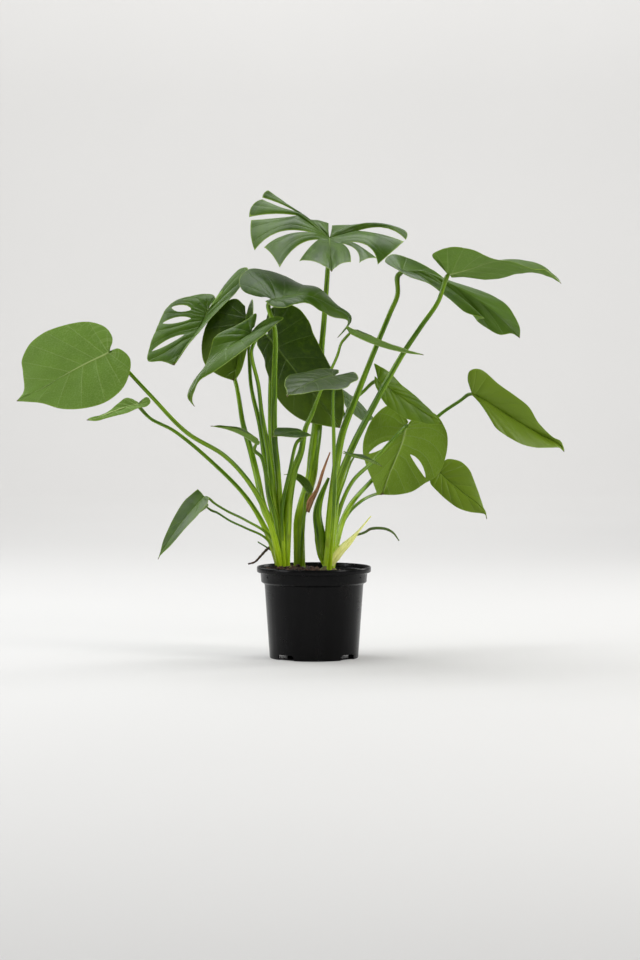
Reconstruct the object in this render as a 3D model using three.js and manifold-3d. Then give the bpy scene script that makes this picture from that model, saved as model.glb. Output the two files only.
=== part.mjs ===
import * as THREE from "three";
import { mergeVertices } from "three/addons/utils/BufferGeometryUtils.js";
import Module from "manifold-3d";

// A split-leaf climber growing in a plastic nursery pot.
// Millimetres, +Z up, +X to the right and +Y away from the front.
// The origin is the middle of the pot's underside.

// Driving dimensions of the pot
const POT_HEIGHT = 136;
const RIM_RADIUS = 85;
const LIP_BOTTOM = 127;
const COLLAR_RADIUS = 79.7;
const STEP_TOP = 113;
const STEP_BOTTOM = 110;
const BODY_TOP_RADIUS = 74;
const BASE_RADIUS = 65.5;
const WALL = 1.3;
const FLOOR = 2;
const POT_SEGMENTS = 48;
const ARCH_HEIGHT = 8;
const ARCH_WIDTH = 30;
const ARCH_ANGLES = [-130, -40, 50, 140];
const COLLAR_HOLE_RADIUS = 1.25;
const COLLAR_HOLE_HEIGHT = 122;
const COLLAR_HOLE_ANGLES = [-150, -30, 30, 150];
const COLLAR_TAPER = 1.2;
const COLLAR_SLOPE = 0.085;
const LIP_THICKNESS = 2.6;
const LIP_EDGE = 1.4;
const ARCH_CORNER = 4;
const ARCH_SHOULDER = 0.4;
const CUTTER_DEPTH = 20;

// Driving dimensions of the soil
const SOIL_LEVEL = 126;
const SOIL_MOUND = 9;
const SOIL_RINGS = [0.2, 0.4, 0.58, 0.74, 0.88, 1];
const SOIL_SEGMENTS = 32;

// Gap between neighbouring pieces, from a stalk's end to its blade, and thickness of the blades
const CLEARANCE = 0.3;
const STALK_GAP = 0.45;
const BLADE = 1;

// Share of the way out at which the first edge of a drawn lobe starts to curve
const NOTCH_SPLIT = 0.3;

// Share of the outline that runs round the notch at the stalk, and the spread and bend of the side veins
const NOTCH_SHARE = 0.28;
const VEIN_SPREAD = 1.75;
const VEIN_BEND = [0.3, 0.52];

// Step over which a slope along the outline is read
const STEP = 0.004;

// Places of the three crowns that the leaf stalks grow from, and the size of each
const CROWNS = {
  left: { at: [-44, -3], radius: 16, top: 142 },
  middle: { at: [-21, 26], radius: 10, top: 139 },
  right: { at: [21, 0], radius: 16, top: 139 },
};
const CROWN_BOTTOM = 96;
const STALK_START = 112;
const STALK_SIDES = 6;
const STALK_RADIUS = [6, 4.5, 3.2, 2.8, 2.4];
const STALK_STOPS = [0, 0.15, 0.4, 0.7, 1];

// Colours
const LEAF_GREEN = 0x4f7d33;
const LEAF_DARK = 0x2f5220;
const LEAF_LIGHT = 0x7f9f3a;
const STALK_GREEN = 0x7f9d45;
const POT_BLACK = 0x26272a;
const SOIL_BROWN = 0x3a2019;
const ROOT_BROWN = 0x6b4428;
const SHEATH_YELLOW = 0xc3b765;
const DRY_BROWN = 0x8d6a42;

// Outline of half a blade, from the notch at the stalk round to the tip.
// x is a share of the blade's length ahead of the stalk, or of the back lobe's behind it.
// y is a share of the half width.
const OUTLINES = {
  heart: [[-0.6, 0.07], [-1, 0.34], [-0.62, 0.64], [0.06, 0.88], [0.28, 1], [0.52, 0.9], [0.74, 0.58],
    [0.88, 0.22], [1, 0]],
  blunt: [[-0.6, 0.07], [-1, 0.34], [-0.62, 0.64], [0.06, 0.9], [0.3, 1], [0.58, 0.98], [0.82, 0.8],
    [0.95, 0.42], [1, 0]],
  narrow: [[-0.6, 0.1], [-1, 0.38], [-0.6, 0.68], [0.06, 0.92], [0.24, 1], [0.48, 0.84], [0.72, 0.5],
    [0.88, 0.18], [1, 0]],
  late: [[-0.6, 0.06], [-1, 0.18], [-0.5, 0.32], [0.06, 0.48], [0.22, 0.72], [0.48, 1], [0.72, 0.84],
    [0.9, 0.36], [1, 0]],
  early: [[-0.6, 0.15], [-1, 0.45], [-0.7, 0.82], [0.02, 1], [0.24, 0.88], [0.5, 0.74], [0.76, 0.6],
    [0.92, 0.28], [1, 0]],
};

// One row for each leaf.
// attach is where the stalk meets the blade, tip the blade's point and up where its upper face looks.
// Pairs are for the left and the right half: half width, back lobe, fold from the midrib, curl in degrees.
// A cut is its place along the outline, where it starts and ends between midrib and edge, and its width.
// A cut that ends at 1 is open at the edge.
// A drawn blade has a spine, the curve of its midrib, and rims, its two edges from the notch to the tip.
// Its camber is its swell over them at the notch, halfway and at the tip; bow sweeps its side veins back.
// A lobed blade has lobes instead, each drawn by its two edges and a point that its outer end bends toward.
// droop is how steeply the blade falls away at the stalk.
// stalk lists the points that the leaf stalk passes between its crown and the blade.
const LEAVES = [
  {
    name: "leaf_01", crown: "middle", columns: 16, rows: 6, root: 6,
    attach: [23, 30, 624], tip: [26, -110, 570], up: [0.05, -0.3, 0.95],
    spine: [[23, 30, 624], [24, -40, 603], [26, -110, 570]], camber: [[4, 4, 4], [4, 4, 4]],
    cuts: [
      [[0.42, 0.4, 1], [0.62, 0.25, 1], [0.8, 0.25, 1]],
      [[0.18, 0.6, 1], [0.28, 0.5, 1], [0.44, 0.5, 1], [0.62, 0.25, 1], [0.8, 0.25, 1]],
    ],
    lobes: [
      [
        { low: [[25, 36, 630], [27, 55, 639], [27, 72, 645]], high: [[63, 50, 635], [113, 62, 652],
          [137, 35, 622]],
          margin: [158, 66, 650] },
        { low: [[63, 50, 635], [99, 45, 634], [134, 25, 619]], high: [[44, 12, 617], [91, 0, 622],
          [94, -15, 583]],
          margin: [114, 5, 601] },
        { low: [[44, 12, 617], [71, -25, 610], [92, -50, 591]], high: [[41, 5, 615], [71, -35, 608],
          [66, -75, 584]],
          margin: [78, -64, 593] },
        { low: [[41, 5, 615], [55, -35, 607], [54, -88, 585]], margin: [39, -97, 586] },
      ],
      [
        { low: [[22, 36, 630], [21, 55, 639], [22, 75, 648]], high: [[-3, 58, 647], [-5, 66, 650],
          [-7, 75, 653]],
          margin: [6, 76, 653] },
        { low: [[-3, 58, 647], [-36, 72, 674], [-69, 85, 698]], high: [[-16, 56, 657], [-45, 66, 678],
          [-78, 78, 687]],
          margin: [-77, 83, 696] },
        { low: [[-16, 56, 657], [-42, 60, 667], [-78, 68, 684]], high: [[-24, 48, 658], [-58, 48, 665],
          [-97, 48, 656]],
          margin: [-98, 62, 678] },
        { low: [[-24, 48, 658], [-48, 42, 654], [-94, 42, 651]], high: [[-1, 18, 631], [-59, 14, 647],
          [-88, 5, 605]],
          margin: [-97, 25, 627] },
        { low: [[-1, 18, 631], [-50, 8, 634], [-74, 0, 609]], high: [[7, 8, 621], [-28, -12, 621],
          [-50, -45, 578]],
          margin: [-62, -20, 602] },
        { low: [[7, 8, 621], [-7, -30, 610], [-21, -82, 586]], margin: [3, -95, 590] },
      ],
    ],
    stalk: [[-22, 26, 166], [-22, 26, 200], [-17, 27, 224], [-10, 28, 247], [-4, 30, 270], [-1, 32, 300],
      [4, 38, 338], [7, 48, 382], [11, 58, 457], [15, 54, 502], [20, 40, 572]],
    radius: [8, 8, 8.5, 4.4, 3.2],
  },
  {
    name: "leaf_02", crown: "left", columns: 14, rows: 4,
    attach: [-59, -60, 530], tip: [35, -36, 475], up: [0.1, -0.45, 0.88], droop: 6,
    spine: [[-59, -60, 530], [-35, -60, 536], [-6, -54, 536], [25, -44, 522], [53, -30, 500],
      [35, -36, 475]],
    rims: [
      [[-76, -40, 535], [-103, -22, 543], [-111, 0, 561], [-98, 16, 576], [-73, 24, 576], [-46, 24, 569],
        [-19, 16, 555], [8, 4, 548], [33, -12, 525], [55, -24, 504], [35, -36, 475]],
      [[-71, -68, 528], [-59, -78, 520], [-43, -84, 518], [-26, -85, 524], [-10, -82, 525], [9, -72, 514],
        [29, -58, 505], [49, -42, 499], [35, -36, 475]],
    ],
    camber: [[6, 8, 2], [6, 8, 2]],
    stalk: [[-46, -15, 168], [-51, -25, 245], [-54, -35, 286], [-58, -45, 329], [-58, -58, 413],
      [-57, -62, 486]],
    radius: [7, 6, 4.8, 4.6, 3],
  },
  {
    name: "leaf_03", crown: "left", columns: 8, rows: 2,
    attach: [53, -70, 482], tip: [159, -110, 450], up: [0.36, -0.05, 0.93], outline: ["narrow", "narrow"],
    half: [28, 28], back: [5, 5], fold: [22, 24], curl: [-10, -10], arch: -0.05,
    stalk: [[-40, -15, 191], [-37, -22, 236], [-29, -30, 280], [-19, -36, 307], [-12, -42, 343],
      [-3, -45, 363], [10, -52, 397], [34, -64, 448], [40, -66, 467]],
    radius: [8, 7.5, 6, 2.6, 1.8],
  },
  {
    name: "leaf_04", crown: "left", columns: 12, rows: 6,
    attach: [-162, 120, 517], tip: [-211, 74, 434], up: [-0.35, -0.7, 0.6], droop: 2,
    spine: [[-162, 120, 517], [-171, 112, 497], [-188, 96, 470], [-211, 74, 434]],
    rims: [
      [[-144, 119, 534], [-139, 124, 547], [-129, 134, 563], [-116, 140, 580], [-102, 132, 583],
        [-102, 122, 569], [-117, 110, 547], [-141, 98, 521], [-165, 88, 494], [-193, 78, 461],
        [-211, 74, 434]],
      [[-150, 126, 534], [-154, 132, 541], [-169, 138, 543], [-193, 145, 539], [-215, 149, 531],
        [-230, 144, 516], [-241, 127, 488], [-250, 111, 462], [-252, 96, 441], [-230, 86, 440],
        [-211, 74, 434]],
    ],
    camber: [[4, 6, 2], [6, 10, 4]],
    cuts: [[], [[0.46, 0.36, 0.88, 14], [0.57, 0.27, 0.9, 12], [0.74, 0.25, 0.92, 12]]],
    stalk: [[-57, 8, 182], [-75, 15, 222], [-84, 28, 263], [-95, 50, 306], [-107, 80, 344],
      [-119, 110, 407], [-140, 122, 470]],
    radius: [7, 6, 5, 3.2, 2.6],
  },
  {
    name: "leaf_05", crown: "left", columns: 8, rows: 3,
    attach: [-103, 100, 509], tip: [-121, 70, 411], up: [-0.1, -0.9, 0.3], outline: ["blunt", "blunt"],
    half: [26, 60], back: [25, 25], fold: [50, 5], curl: [10, -15],
    stalk: [[-52, 5, 182], [-66, 20, 238], [-72, 38, 284], [-81, 60, 342], [-95, 88, 401], [-99, 108, 457]],
    radius: [7, 7, 5, 3, 2.6],
  },
  {
    name: "leaf_06", crown: "left", columns: 14, rows: 3,
    attach: [-91, -62, 482], tip: [-173, -100, 375], up: [-0.6, -0.5, 0.62],
    spine: [[-91, -62, 482], [-111, -68, 470], [-130, -74, 459], [-150, -81, 440], [-167, -88, 418],
      [-178, -94, 398], [-179, -97, 386], [-173, -100, 375]],
    rims: [
      [[-83, -63, 489], [-74, -66, 498], [-61, -69, 505], [-44, -72, 504], [-56, -78, 494],
        [-75, -84, 477], [-97, -91, 460], [-119, -98, 443], [-142, -99, 427], [-164, -99, 414],
        [-173, -100, 398], [-176, -100, 385], [-173, -100, 375]],
      [[-87, -60, 491], [-84, -57, 510], [-96, -54, 503], [-114, -53, 493], [-134, -55, 484],
        [-146, -59, 474], [-150, -62, 460], [-155, -66, 443], [-166, -72, 423], [-176, -79, 408],
        [-182, -86, 396], [-182, -93, 386], [-173, -100, 375]],
    ],
    camber: [[4, 5, 1], [4, 4, 1]],
    stalk: [[-49, -15, 183], [-59, -28, 236], [-62, -38, 266], [-67, -48, 309], [-76, -62, 362],
      [-81, -72, 406], [-91, -78, 454]],
    radius: [7, 7, 5, 3, 2.6],
  },
  {
    name: "leaf_07", crown: "left", columns: 10, rows: 3,
    attach: [-69, 40, 478], tip: [39, 20, 341], up: [-0.1, -0.95, 0.3], outline: ["early", "late"],
    half: [63, 47], back: [30, 16], fold: [10, -8], curl: [-10, -10],
    stalk: [[-43, 0, 182], [-55, 20, 248], [-62, 35, 293], [-65, 45, 327], [-66, 60, 382], [-66, 75, 457]],
    radius: [7, 6, 4.2, 3.4, 2.6],
  },
  {
    name: "leaf_08", crown: "right", columns: 8, rows: 3,
    attach: [28, -150, 420], tip: [-38, -210, 391], up: [-0.1, -0.3, 0.95], outline: ["heart", "heart"],
    half: [55, 50], back: [25, 25], fold: [5, 8], curl: [-15, -15], arch: 0.05,
    stalk: [[30, -60, 237], [29, -115, 327], [28, -146, 393]],
  },
  {
    name: "leaf_09", crown: "right", columns: 16, rows: 4,
    attach: [132, 42, 574], tip: [308, 40, 475], up: [0.3, -0.4, 0.85], droop: 8,
    spine: [[132, 42, 574], [161, 36, 576], [197, 34, 560], [236, 36, 539], [274, 38, 510], [308, 40, 475]],
    rims: [
      [[125, 56, 580], [107, 72, 590], [118, 90, 601], [148, 98, 595], [179, 100, 579], [209, 96, 557],
        [239, 90, 552], [273, 80, 537], [295, 68, 519], [308, 50, 493], [308, 40, 475]],
      [[119, 32, 581], [140, 12, 566], [169, 0, 556], [196, -4, 536], [224, 0, 513], [253, 8, 505],
        [243, 30, 501], [260, 36, 489], [278, 38, 480], [296, 40, 482], [308, 40, 475]],
    ],
    camber: [[0, -4, 0], [6, 12, 2]],
    stalk: [[25, 5, 204], [31, 12, 264], [37, 20, 308], [44, 24, 338], [63, 30, 387], [94, 36, 465],
      [114, 40, 513], [125, 42, 540]],
    radius: [8, 7, 5.6, 4, 3.4],
  },
  {
    name: "leaf_10", crown: "right", columns: 14, rows: 3,
    attach: [196, -60, 567], tip: [362, -55, 554], up: [0, 0.65, 0.76],
    spine: [[196, -60, 567], [228, -62, 576], [262, -60, 587], [301, -58, 589], [335, -56, 577],
      [362, -55, 554]],
    rims: [
      [[202, -52, 563], [222, -36, 564], [254, -20, 561], [278, -15, 563], [300, -18, 569],
        [326, -28, 571], [345, -42, 564], [362, -55, 554]],
      [[187, -70, 577], [172, -80, 594], [184, -95, 602], [204, -105, 605], [231, -108, 601],
        [259, -104, 589], [288, -98, 584], [317, -90, 574], [339, -75, 572], [362, -55, 554]],
    ],
    camber: [[3, 4, 2], [3, 6, 6]],
    stalk: [[28, -12, 205], [37, -24, 261], [56, -35, 313], [81, -47, 363], [103, -53, 404],
      [131, -60, 453], [157, -63, 492], [181, -65, 527]],
    radius: [8, 7, 5, 4, 3],
  },
  {
    name: "leaf_11", crown: "right", columns: 14, rows: 3,
    attach: [242, 142, 390], tip: [386, 168, 300], up: [0.2, -0.9, 0.35],
    spine: [[242, 142, 390], [264, 146, 379], [300, 152, 356], [343, 160, 330], [375, 165, 313],
      [386, 168, 300]],
    rims: [
      [[240, 141, 395], [236, 138, 410], [237, 136, 424], [248, 135, 429], [262, 138, 424],
        [282, 141, 406], [309, 144, 387], [330, 148, 370], [345, 153, 346], [366, 158, 325],
        [380, 163, 317], [386, 168, 300]],
      [[242, 141, 389], [251, 137, 380], [260, 133, 369], [268, 130, 355], [278, 130, 338],
        [296, 131, 325], [317, 132, 314], [339, 141, 308], [361, 150, 307], [377, 159, 307],
        [386, 168, 300]],
    ],
    camber: [[3, 5, 2], [2, 5, 2]],
    stalk: [[47, 56, 209], [87, 124, 257], [147, 144, 312], [193, 151, 358], [226, 149, 381]],
    radius: [6, 5, 3.4, 2.9, 2.4],
  },
  {
    name: "leaf_12", crown: "right", columns: 14, rows: 5,
    attach: [140, 100, 341], tip: [104, 112, 237], up: [0.1, 0.95, 0.25],
    spine: [[140, 100, 341], [134, 103, 317], [125, 105, 294], [114, 109, 267], [104, 112, 237]],
    rims: [
      [[143, 99, 348], [130, 96, 368], [112, 95, 373], [91, 95, 356], [77, 96, 328], [74, 98, 304],
        [79, 99, 283], [87, 102, 263], [94, 106, 244], [96, 109, 237], [104, 112, 237]],
      [[147, 99, 350], [164, 96, 365], [184, 95, 360], [198, 95, 341], [203, 96, 321], [199, 98, 292],
        [188, 99, 268], [169, 102, 255], [149, 106, 242], [126, 109, 237], [104, 112, 237]],
    ],
    camber: [[4, 7, 3], [4, 7, 3]], bow: [0.1, 0.28],
    cuts: [[[0.54, 0.28, 0.88, 9]], [[0.685, 0.32, 0.92, 8]]],
    stalk: [[36, 10, 212], [57, 25, 260], [87, 45, 289], [118, 62, 322], [134, 72, 338]],
  },
  {
    name: "leaf_13", crown: "right", columns: 12, rows: 2,
    attach: [96, 42, 411], tip: [192, 70, 346], up: [0.2, -0.8, 0.5],
    spine: [[96, 42, 411], [111, 46, 401], [129, 52, 388], [160, 61, 367], [192, 70, 346]],
    rims: [
      [[96, 43, 413], [96, 45, 423], [90, 46, 437], [102, 47, 431], [116, 51, 421], [131, 55, 406],
        [147, 59, 393], [161, 62, 380], [176, 65, 367], [185, 67, 356], [192, 70, 346]],
      [[94, 41, 412], [91, 40, 418], [91, 38, 407], [96, 38, 395], [103, 42, 382], [111, 45, 372],
        [125, 48, 362], [139, 54, 354], [157, 59, 349], [175, 65, 345], [192, 70, 346]],
    ],
    camber: [[2, 3, 1], [2, 3, 1]],
    stalk: [[30, 15, 234], [42, 30, 323], [54, 42, 375], [75, 52, 396]],
  },
  {
    name: "leaf_14", crown: "right", columns: 12, rows: 3,
    attach: [193, 141, 269], tip: [264, 122, 199], up: [0.2, -0.9, 0.35],
    spine: [[193, 141, 269], [207, 138, 256], [228, 132, 239], [249, 127, 222], [261, 124, 209],
      [264, 122, 199]],
    rims: [
      [[192, 142, 273], [196, 144, 283], [206, 144, 290], [224, 143, 287], [238, 140, 274],
        [246, 138, 256], [252, 134, 239], [257, 130, 223], [262, 126, 211], [264, 122, 199]],
      [[189, 141, 267], [179, 139, 260], [179, 137, 252], [190, 134, 240], [203, 130, 228],
        [220, 125, 216], [238, 123, 210], [255, 123, 208], [262, 122, 206], [264, 122, 199]],
    ],
    camber: [[3, 4, 2], [3, 4, 2]],
    stalk: [[44, 50, 199], [70, 92, 227], [108, 148, 240], [154, 152, 249], [180, 150, 260]],
    radius: [5, 4, 2.6, 2.3, 2],
  },
  {
    name: "leaf_15", crown: "left", columns: 14, rows: 3,
    attach: [-296, -118, 453], tip: [-431, -100, 383], up: [-0.1, -0.95, 0.3],
    spine: [[-296, -118, 453], [-326, -114, 439], [-349, -111, 427], [-370, -108, 415], [-394, -105, 401],
      [-431, -100, 383]],
    rims: [
      [[-294, -116, 455], [-291, -109, 475], [-305, -105, 492], [-332, -104, 498], [-362, -100, 493],
        [-390, -97, 483], [-411, -94, 467], [-423, -96, 444], [-422, -97, 425], [-421, -98, 399],
        [-431, -100, 383]],
      [[-293, -120, 453], [-281, -124, 459], [-265, -127, 446], [-265, -127, 425], [-276, -126, 401],
        [-300, -124, 382], [-331, -122, 373], [-364, -116, 372], [-393, -111, 380], [-415, -106, 382],
        [-431, -100, 383]],
    ],
    camber: [[5, 8, 3], [5, 8, 3]],
    stalk: [[-68, -40, 211], [-94, -60, 262], [-130, -80, 303], [-185, -100, 338], [-237, -105, 392],
      [-273, -105, 431]],
    radius: [6, 4.6, 3.4, 3, 2.6],
  },
  {
    name: "leaf_16", crown: "left", columns: 10, rows: 2,
    attach: [-265, 60, 375], tip: [-342, 52, 352], up: [-0.25, -0.55, 0.8],
    spine: [[-265, 60, 375], [-284, 58, 371], [-307, 56, 363], [-326, 54, 355], [-342, 52, 352]],
    rims: [
      [[-264, 61, 378], [-271, 64, 383], [-278, 65, 385], [-286, 64, 384], [-297, 63, 376],
        [-310, 62, 365], [-324, 59, 358], [-337, 55, 356], [-342, 52, 352]],
      [[-262, 59, 376], [-256, 57, 385], [-249, 55, 386], [-246, 53, 379], [-252, 51, 373],
        [-264, 49, 370], [-281, 49, 363], [-306, 50, 357], [-326, 51, 351], [-342, 52, 352]],
    ],
    camber: [[2, 2, 1], [2, 2, 1]],
    stalk: [[-72, 15, 189], [-103, 30, 239], [-155, 45, 291], [-211, 58, 336], [-246, 64, 354]],
  },
  {
    name: "leaf_17", crown: "left", columns: 7, rows: 2,
    attach: [-161, -60, 242], tip: [-230, -40, 149], up: [-0.7, -0.55, 0.5], outline: ["narrow", "narrow"],
    half: [27, 21], back: [6, 1], fold: [4, 15], curl: [10, 10], arch: 0.04,
    stalk: [[-65, -25, 181], [-101, -40, 207], [-128, -50, 221], [-148, -54, 234]],
    radius: [4, 2.5, 2, 1.8, 1.6],
  },
  {
    name: "leaf_18", crown: "left", columns: 7, rows: 2,
    attach: [-161, 40, 222], tip: [-225, 40, 165], up: [-0.65, -0.1, 0.76], outline: ["narrow", "narrow"],
    half: [18, 18], back: [4, 4], fold: [10, 10], arch: 0.03,
    stalk: [[-69, 10, 174], [-103, 20, 192], [-126, 30, 202], [-146, 38, 214]],
    radius: [4, 2.2, 1.8, 1.6, 1.5],
  },
  {
    name: "leaf_19", crown: "left", columns: 7, rows: 2,
    attach: [-84, -80, 320], tip: [-150, -110, 347], up: [-0.2, -0.3, 0.9], outline: ["narrow", "narrow"],
    half: [9, 11], back: [3, 3], fold: [30, 30], curl: [40, 40], arch: 0.07,
    stalk: [[-56, -25, 206], [-65, -40, 241], [-70, -52, 272], [-77, -66, 301]],
    radius: [5, 4, 3.6, 3, 2.4],
  },
  {
    name: "leaf_20", crown: "left", columns: 7, rows: 2,
    attach: [-17, -60, 337], tip: [-60, -110, 331], up: [-0.1, -0.55, 0.85], outline: ["heart", "heart"],
    half: [22, 24], back: [8, 8], fold: [5, 5], curl: [-15, -15], arch: 0.05,
    stalk: [[-47, -30, 221], [-35, -50, 281], [-25, -60, 322]],
  },
  {
    name: "leaf_21", crown: "right", columns: 6, rows: 2,
    attach: [59, -62, 301], tip: [100, -66, 287], up: [0.3, -0.1, 0.9], outline: ["narrow", "narrow"],
    half: [16, 16], back: [18, 18], fold: [18, 18], curl: [-10, -10], arch: 0.03,
    stalk: [[33, -28, 225], [46, -52, 268]],
    radius: [4, 2, 1.6, 1.5, 1.4],
  },
  {
    name: "leaf_22", crown: "middle", columns: 6, rows: 2,
    attach: [-7, -14, 247], tip: [-45, 2, 272], up: [-0.1, -0.5, 0.7], outline: ["narrow", "narrow"],
    half: [9, 9], back: [2, 2], fold: [20, 20], curl: [20, 20], arch: 0.25,
    stalk: [[-15, 4, 205]],
    radius: [4, 3, 3, 2.5, 2],
  },
  {
    name: "leaf_23", crown: "right", columns: 7, rows: 2,
    attach: [49, 200, 383], tip: [95, 230, 348], up: [0.2, -0.5, 0.8], outline: ["heart", "heart"],
    half: [30, 30], back: [10, 10], curl: [-10, -10],
    stalk: [[22, 20, 165], [32, 100, 230], [41, 160, 304], [47, 195, 355]],
    radius: [4, 3, 2.2, 2, 1.8],
  },
];

// Colours of the blades that differ from the common green
const BLADE_COLOURS = {
  leaf_05: LEAF_DARK,
  leaf_07: LEAF_DARK,
  leaf_08: LEAF_DARK,
  leaf_12: LEAF_LIGHT,
  leaf_13: LEAF_LIGHT,
};

// Small extra growths of the left crown: a short bare stem with a swollen ring, and a thin shoot
const BARE_STEM = { path: [[-46, 4, 112], [-52, 12, 160], [-57, 18, 200]], radius: [6, 6, 5.5, 5.2, 5] };
const BARE_STEM_RING = {
  path: [[-55.5, 16.5, 190], [-56, 17, 194], [-56.5, 17.5, 198]], radius: [5.5, 6.2, 6.6, 6.2, 5.4],
};
const THIN_SHOOT = { path: [[-46, 4, 140], [-62, 14, 157], [-84, 20, 171]],
  radius: [2.2, 1.6, 1.4, 1.2, 1] };

// A broad sheath of the right crown that leans toward the gap between the crowns
const BROAD_SHEATH = {
  path: [[12, 2, 151], [9, 4, 182], [5, 8, 213], [9, 10, 235], [22, 12, 267]], radius: [5, 6, 8, 6, 2],
};

const EXTRAS = { left: [BARE_STEM, BARE_STEM_RING, THIN_SHOOT], middle: [], right: [BROAD_SHEATH] };

// Loose pieces that lie against the stalks
const AERIAL_ROOT = {
  path: [[-52, 14, 170], [-69, 12, 161], [-79, 8, 151], [-88, 4, 142], [-98, 2, 139]],
    radius: [2.4, 2.2, 2, 1.7, 1.2],
};
const YELLOW_SHEATH = {
  path: [[25, -10, 138], [30, -9, 147], [40, -6, 160], [56, 0, 176], [85, 8, 210]],
  radius: [4.5, 7, 6, 1.8, 0.9],
};
const DRY_STRIP = {
  path: [[58, 5, 180], [76, 8, 186], [85, 10, 191], [106, 11, 191], [118, 12, 185], [127, 12, 173]],
  radius: [1.2, 1.8, 2.2, 2, 0.8],
};
const BROWN_SHEATH = {
  path: [[-11, 19, 216], [-5.5, 18.5, 231], [5, 18, 250], [13, 17, 275], [19, 15, 292], [24, 13, 305]],
  radius: [4.5, 5, 2.6, 2.2, 1],
};

const wasm = await Module();
wasm.setup();

function vec(a) {
  return new THREE.Vector3(a[0], a[1], a[2]);
}

function lerp(a, b, t) {
  return a + (b - a) * t;
}

function clamp01(x) {
  return Math.min(Math.max(x, 0), 1);
}

// A smooth curve through a list of points of any size, t from 0 to 1
function smoothCurve(points, t) {
  const n = points.length - 1;
  const s = clamp01(t) * n;
  const i = Math.min(Math.floor(s), n - 1);
  const f = s - i;
  const at = (j) => points[Math.min(Math.max(j, 0), n)];
  return points[0].map((_, c) => {
    const p1 = at(i)[c];
    const p2 = at(i + 1)[c];
    const p0 = i === 0 ? 2 * p1 - p2 : at(i - 1)[c];
    const p3 = i === n - 1 ? 2 * p2 - p1 : at(i + 2)[c];
    return 0.5 * (2 * p1 + (p2 - p0) * f + (2 * p0 - 5 * p1 + 4 * p2 - p3) * f * f
      + (3 * p1 - p0 - 3 * p2 + p3) * f ** 3);
  });
}

// Fills in what a leaf row leaves out, and its own axes: along the midrib, up, and to the left
function prepare(row) {
  const leaf = {
    foldTip: row.fold ?? [0, 0], fold: [0, 0], curl: [0, 0], arch: 0, backLift: 0, root: VEIN_SPREAD,
    cuts: [[], []], radius: STALK_RADIUS, back: [1, 1], droop: 0, bow: [0, 0], ...row,
  };
  leaf.attach = vec(row.attach);
  leaf.tip = vec(row.tip);
  leaf.length = leaf.attach.distanceTo(leaf.tip);
  leaf.along = leaf.tip.clone().sub(leaf.attach).normalize();
  const up = vec(row.up);
  leaf.up = up.addScaledVector(leaf.along, -up.dot(leaf.along)).normalize();
  leaf.left = leaf.up.clone().cross(leaf.along);
  return leaf;
}

// How far along the midrib the side vein leaves it that ends at a on the outline
function midribShare(leaf, a) {
  return Math.max(0, (a - NOTCH_SHARE) / (1 - NOTCH_SHARE)) ** leaf.root;
}

// A point of the flat half blade: a runs round the outline, b from the midrib out to it
function flatPoint(leaf, side, a, b) {
  const [fx, fy] = smoothCurve(OUTLINES[leaf.outline[side]], a);
  const ex = fx * (fx > 0 ? leaf.length : leaf.back[side]);
  const ey = Math.max(fy, 0) * leaf.half[side];
  const rootX = leaf.length * midribShare(leaf, a);
  const midX = lerp(rootX, ex, VEIN_BEND[0]);
  const midY = ey * VEIN_BEND[1];
  return [
    (1 - b) ** 2 * rootX + 2 * b * (1 - b) * midX + b * b * ex,
    2 * b * (1 - b) * midY + b * b * ey,
  ];
}

// Direction across the side vein at a point, toward the tip
function acrossVein(leaf, side, a, b) {
  const p = flatPoint(leaf, side, a, Math.min(b + 0.02, 1));
  const q = flatPoint(leaf, side, a, Math.max(b - 0.02, 0));
  const dx = p[0] - q[0];
  const dy = p[1] - q[1];
  const size = Math.hypot(dx, dy);
  return size > 1e-6 ? [dy / size, -dx / size] : [1, 0];
}

// Half the width of a cut at b
function halfGap([, inner, outer, width], b) {
  if (b <= inner || (outer < 1 && b >= outer)) {
    return 0;
  }
  const t = (b - inner) / (outer - inner);
  if (outer < 1) {
    return 0.5 * width * Math.sin(Math.PI * t) ** 0.7;
  }
  return 0.5 * width * Math.min(1, 2.2 * t) ** 0.6 * (0.75 + 0.25 * t);
}

// A point of the midrib of a drawn blade
function spinePoint(leaf, a) {
  return vec(smoothCurve(leaf.spine, midribShare(leaf, a)));
}

function camberAt(leaf, side, a) {
  return smoothCurve(leaf.camber[side].map((value) => [value]), a)[0];
}

// A point at s on the short curve from p to q that bends toward another point
function bendTo(p, bend, q, s) {
  const point = p.clone().multiplyScalar((1 - s) ** 2);
  return point.addScaledVector(bend, 2 * s * (1 - s)).addScaledVector(q, s * s);
}

// A point of a blade whose midrib and edges are drawn as curves in space
function drawnPoint(leaf, side, a, b) {
  const root = spinePoint(leaf, a);
  const rim = vec(smoothCurve(leaf.rims[side], a));
  const sweep = leaf.bow[side] * root.distanceTo(rim) * clamp01((a - 0.12) / 0.3);
  const middle = root.clone().lerp(rim, 0.5);
  middle.addScaledVector(leaf.up, camberAt(leaf, side, a)).addScaledVector(leaf.along, -sweep);
  return bendTo(root, middle, rim, b);
}

// A point on one edge of a drawn lobe: straight from the midrib to the split, then curving to the corner
function lobeEdge(leaf, a, points, inner, b) {
  if (!points) {
    return leaf.tip.clone();
  }
  const [split, bend, corner] = points.map(vec);
  if (b <= inner) {
    return spinePoint(leaf, a).lerp(split, b / inner);
  }
  return bendTo(split, bend, corner, (b - inner) / (1 - inner));
}

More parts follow.
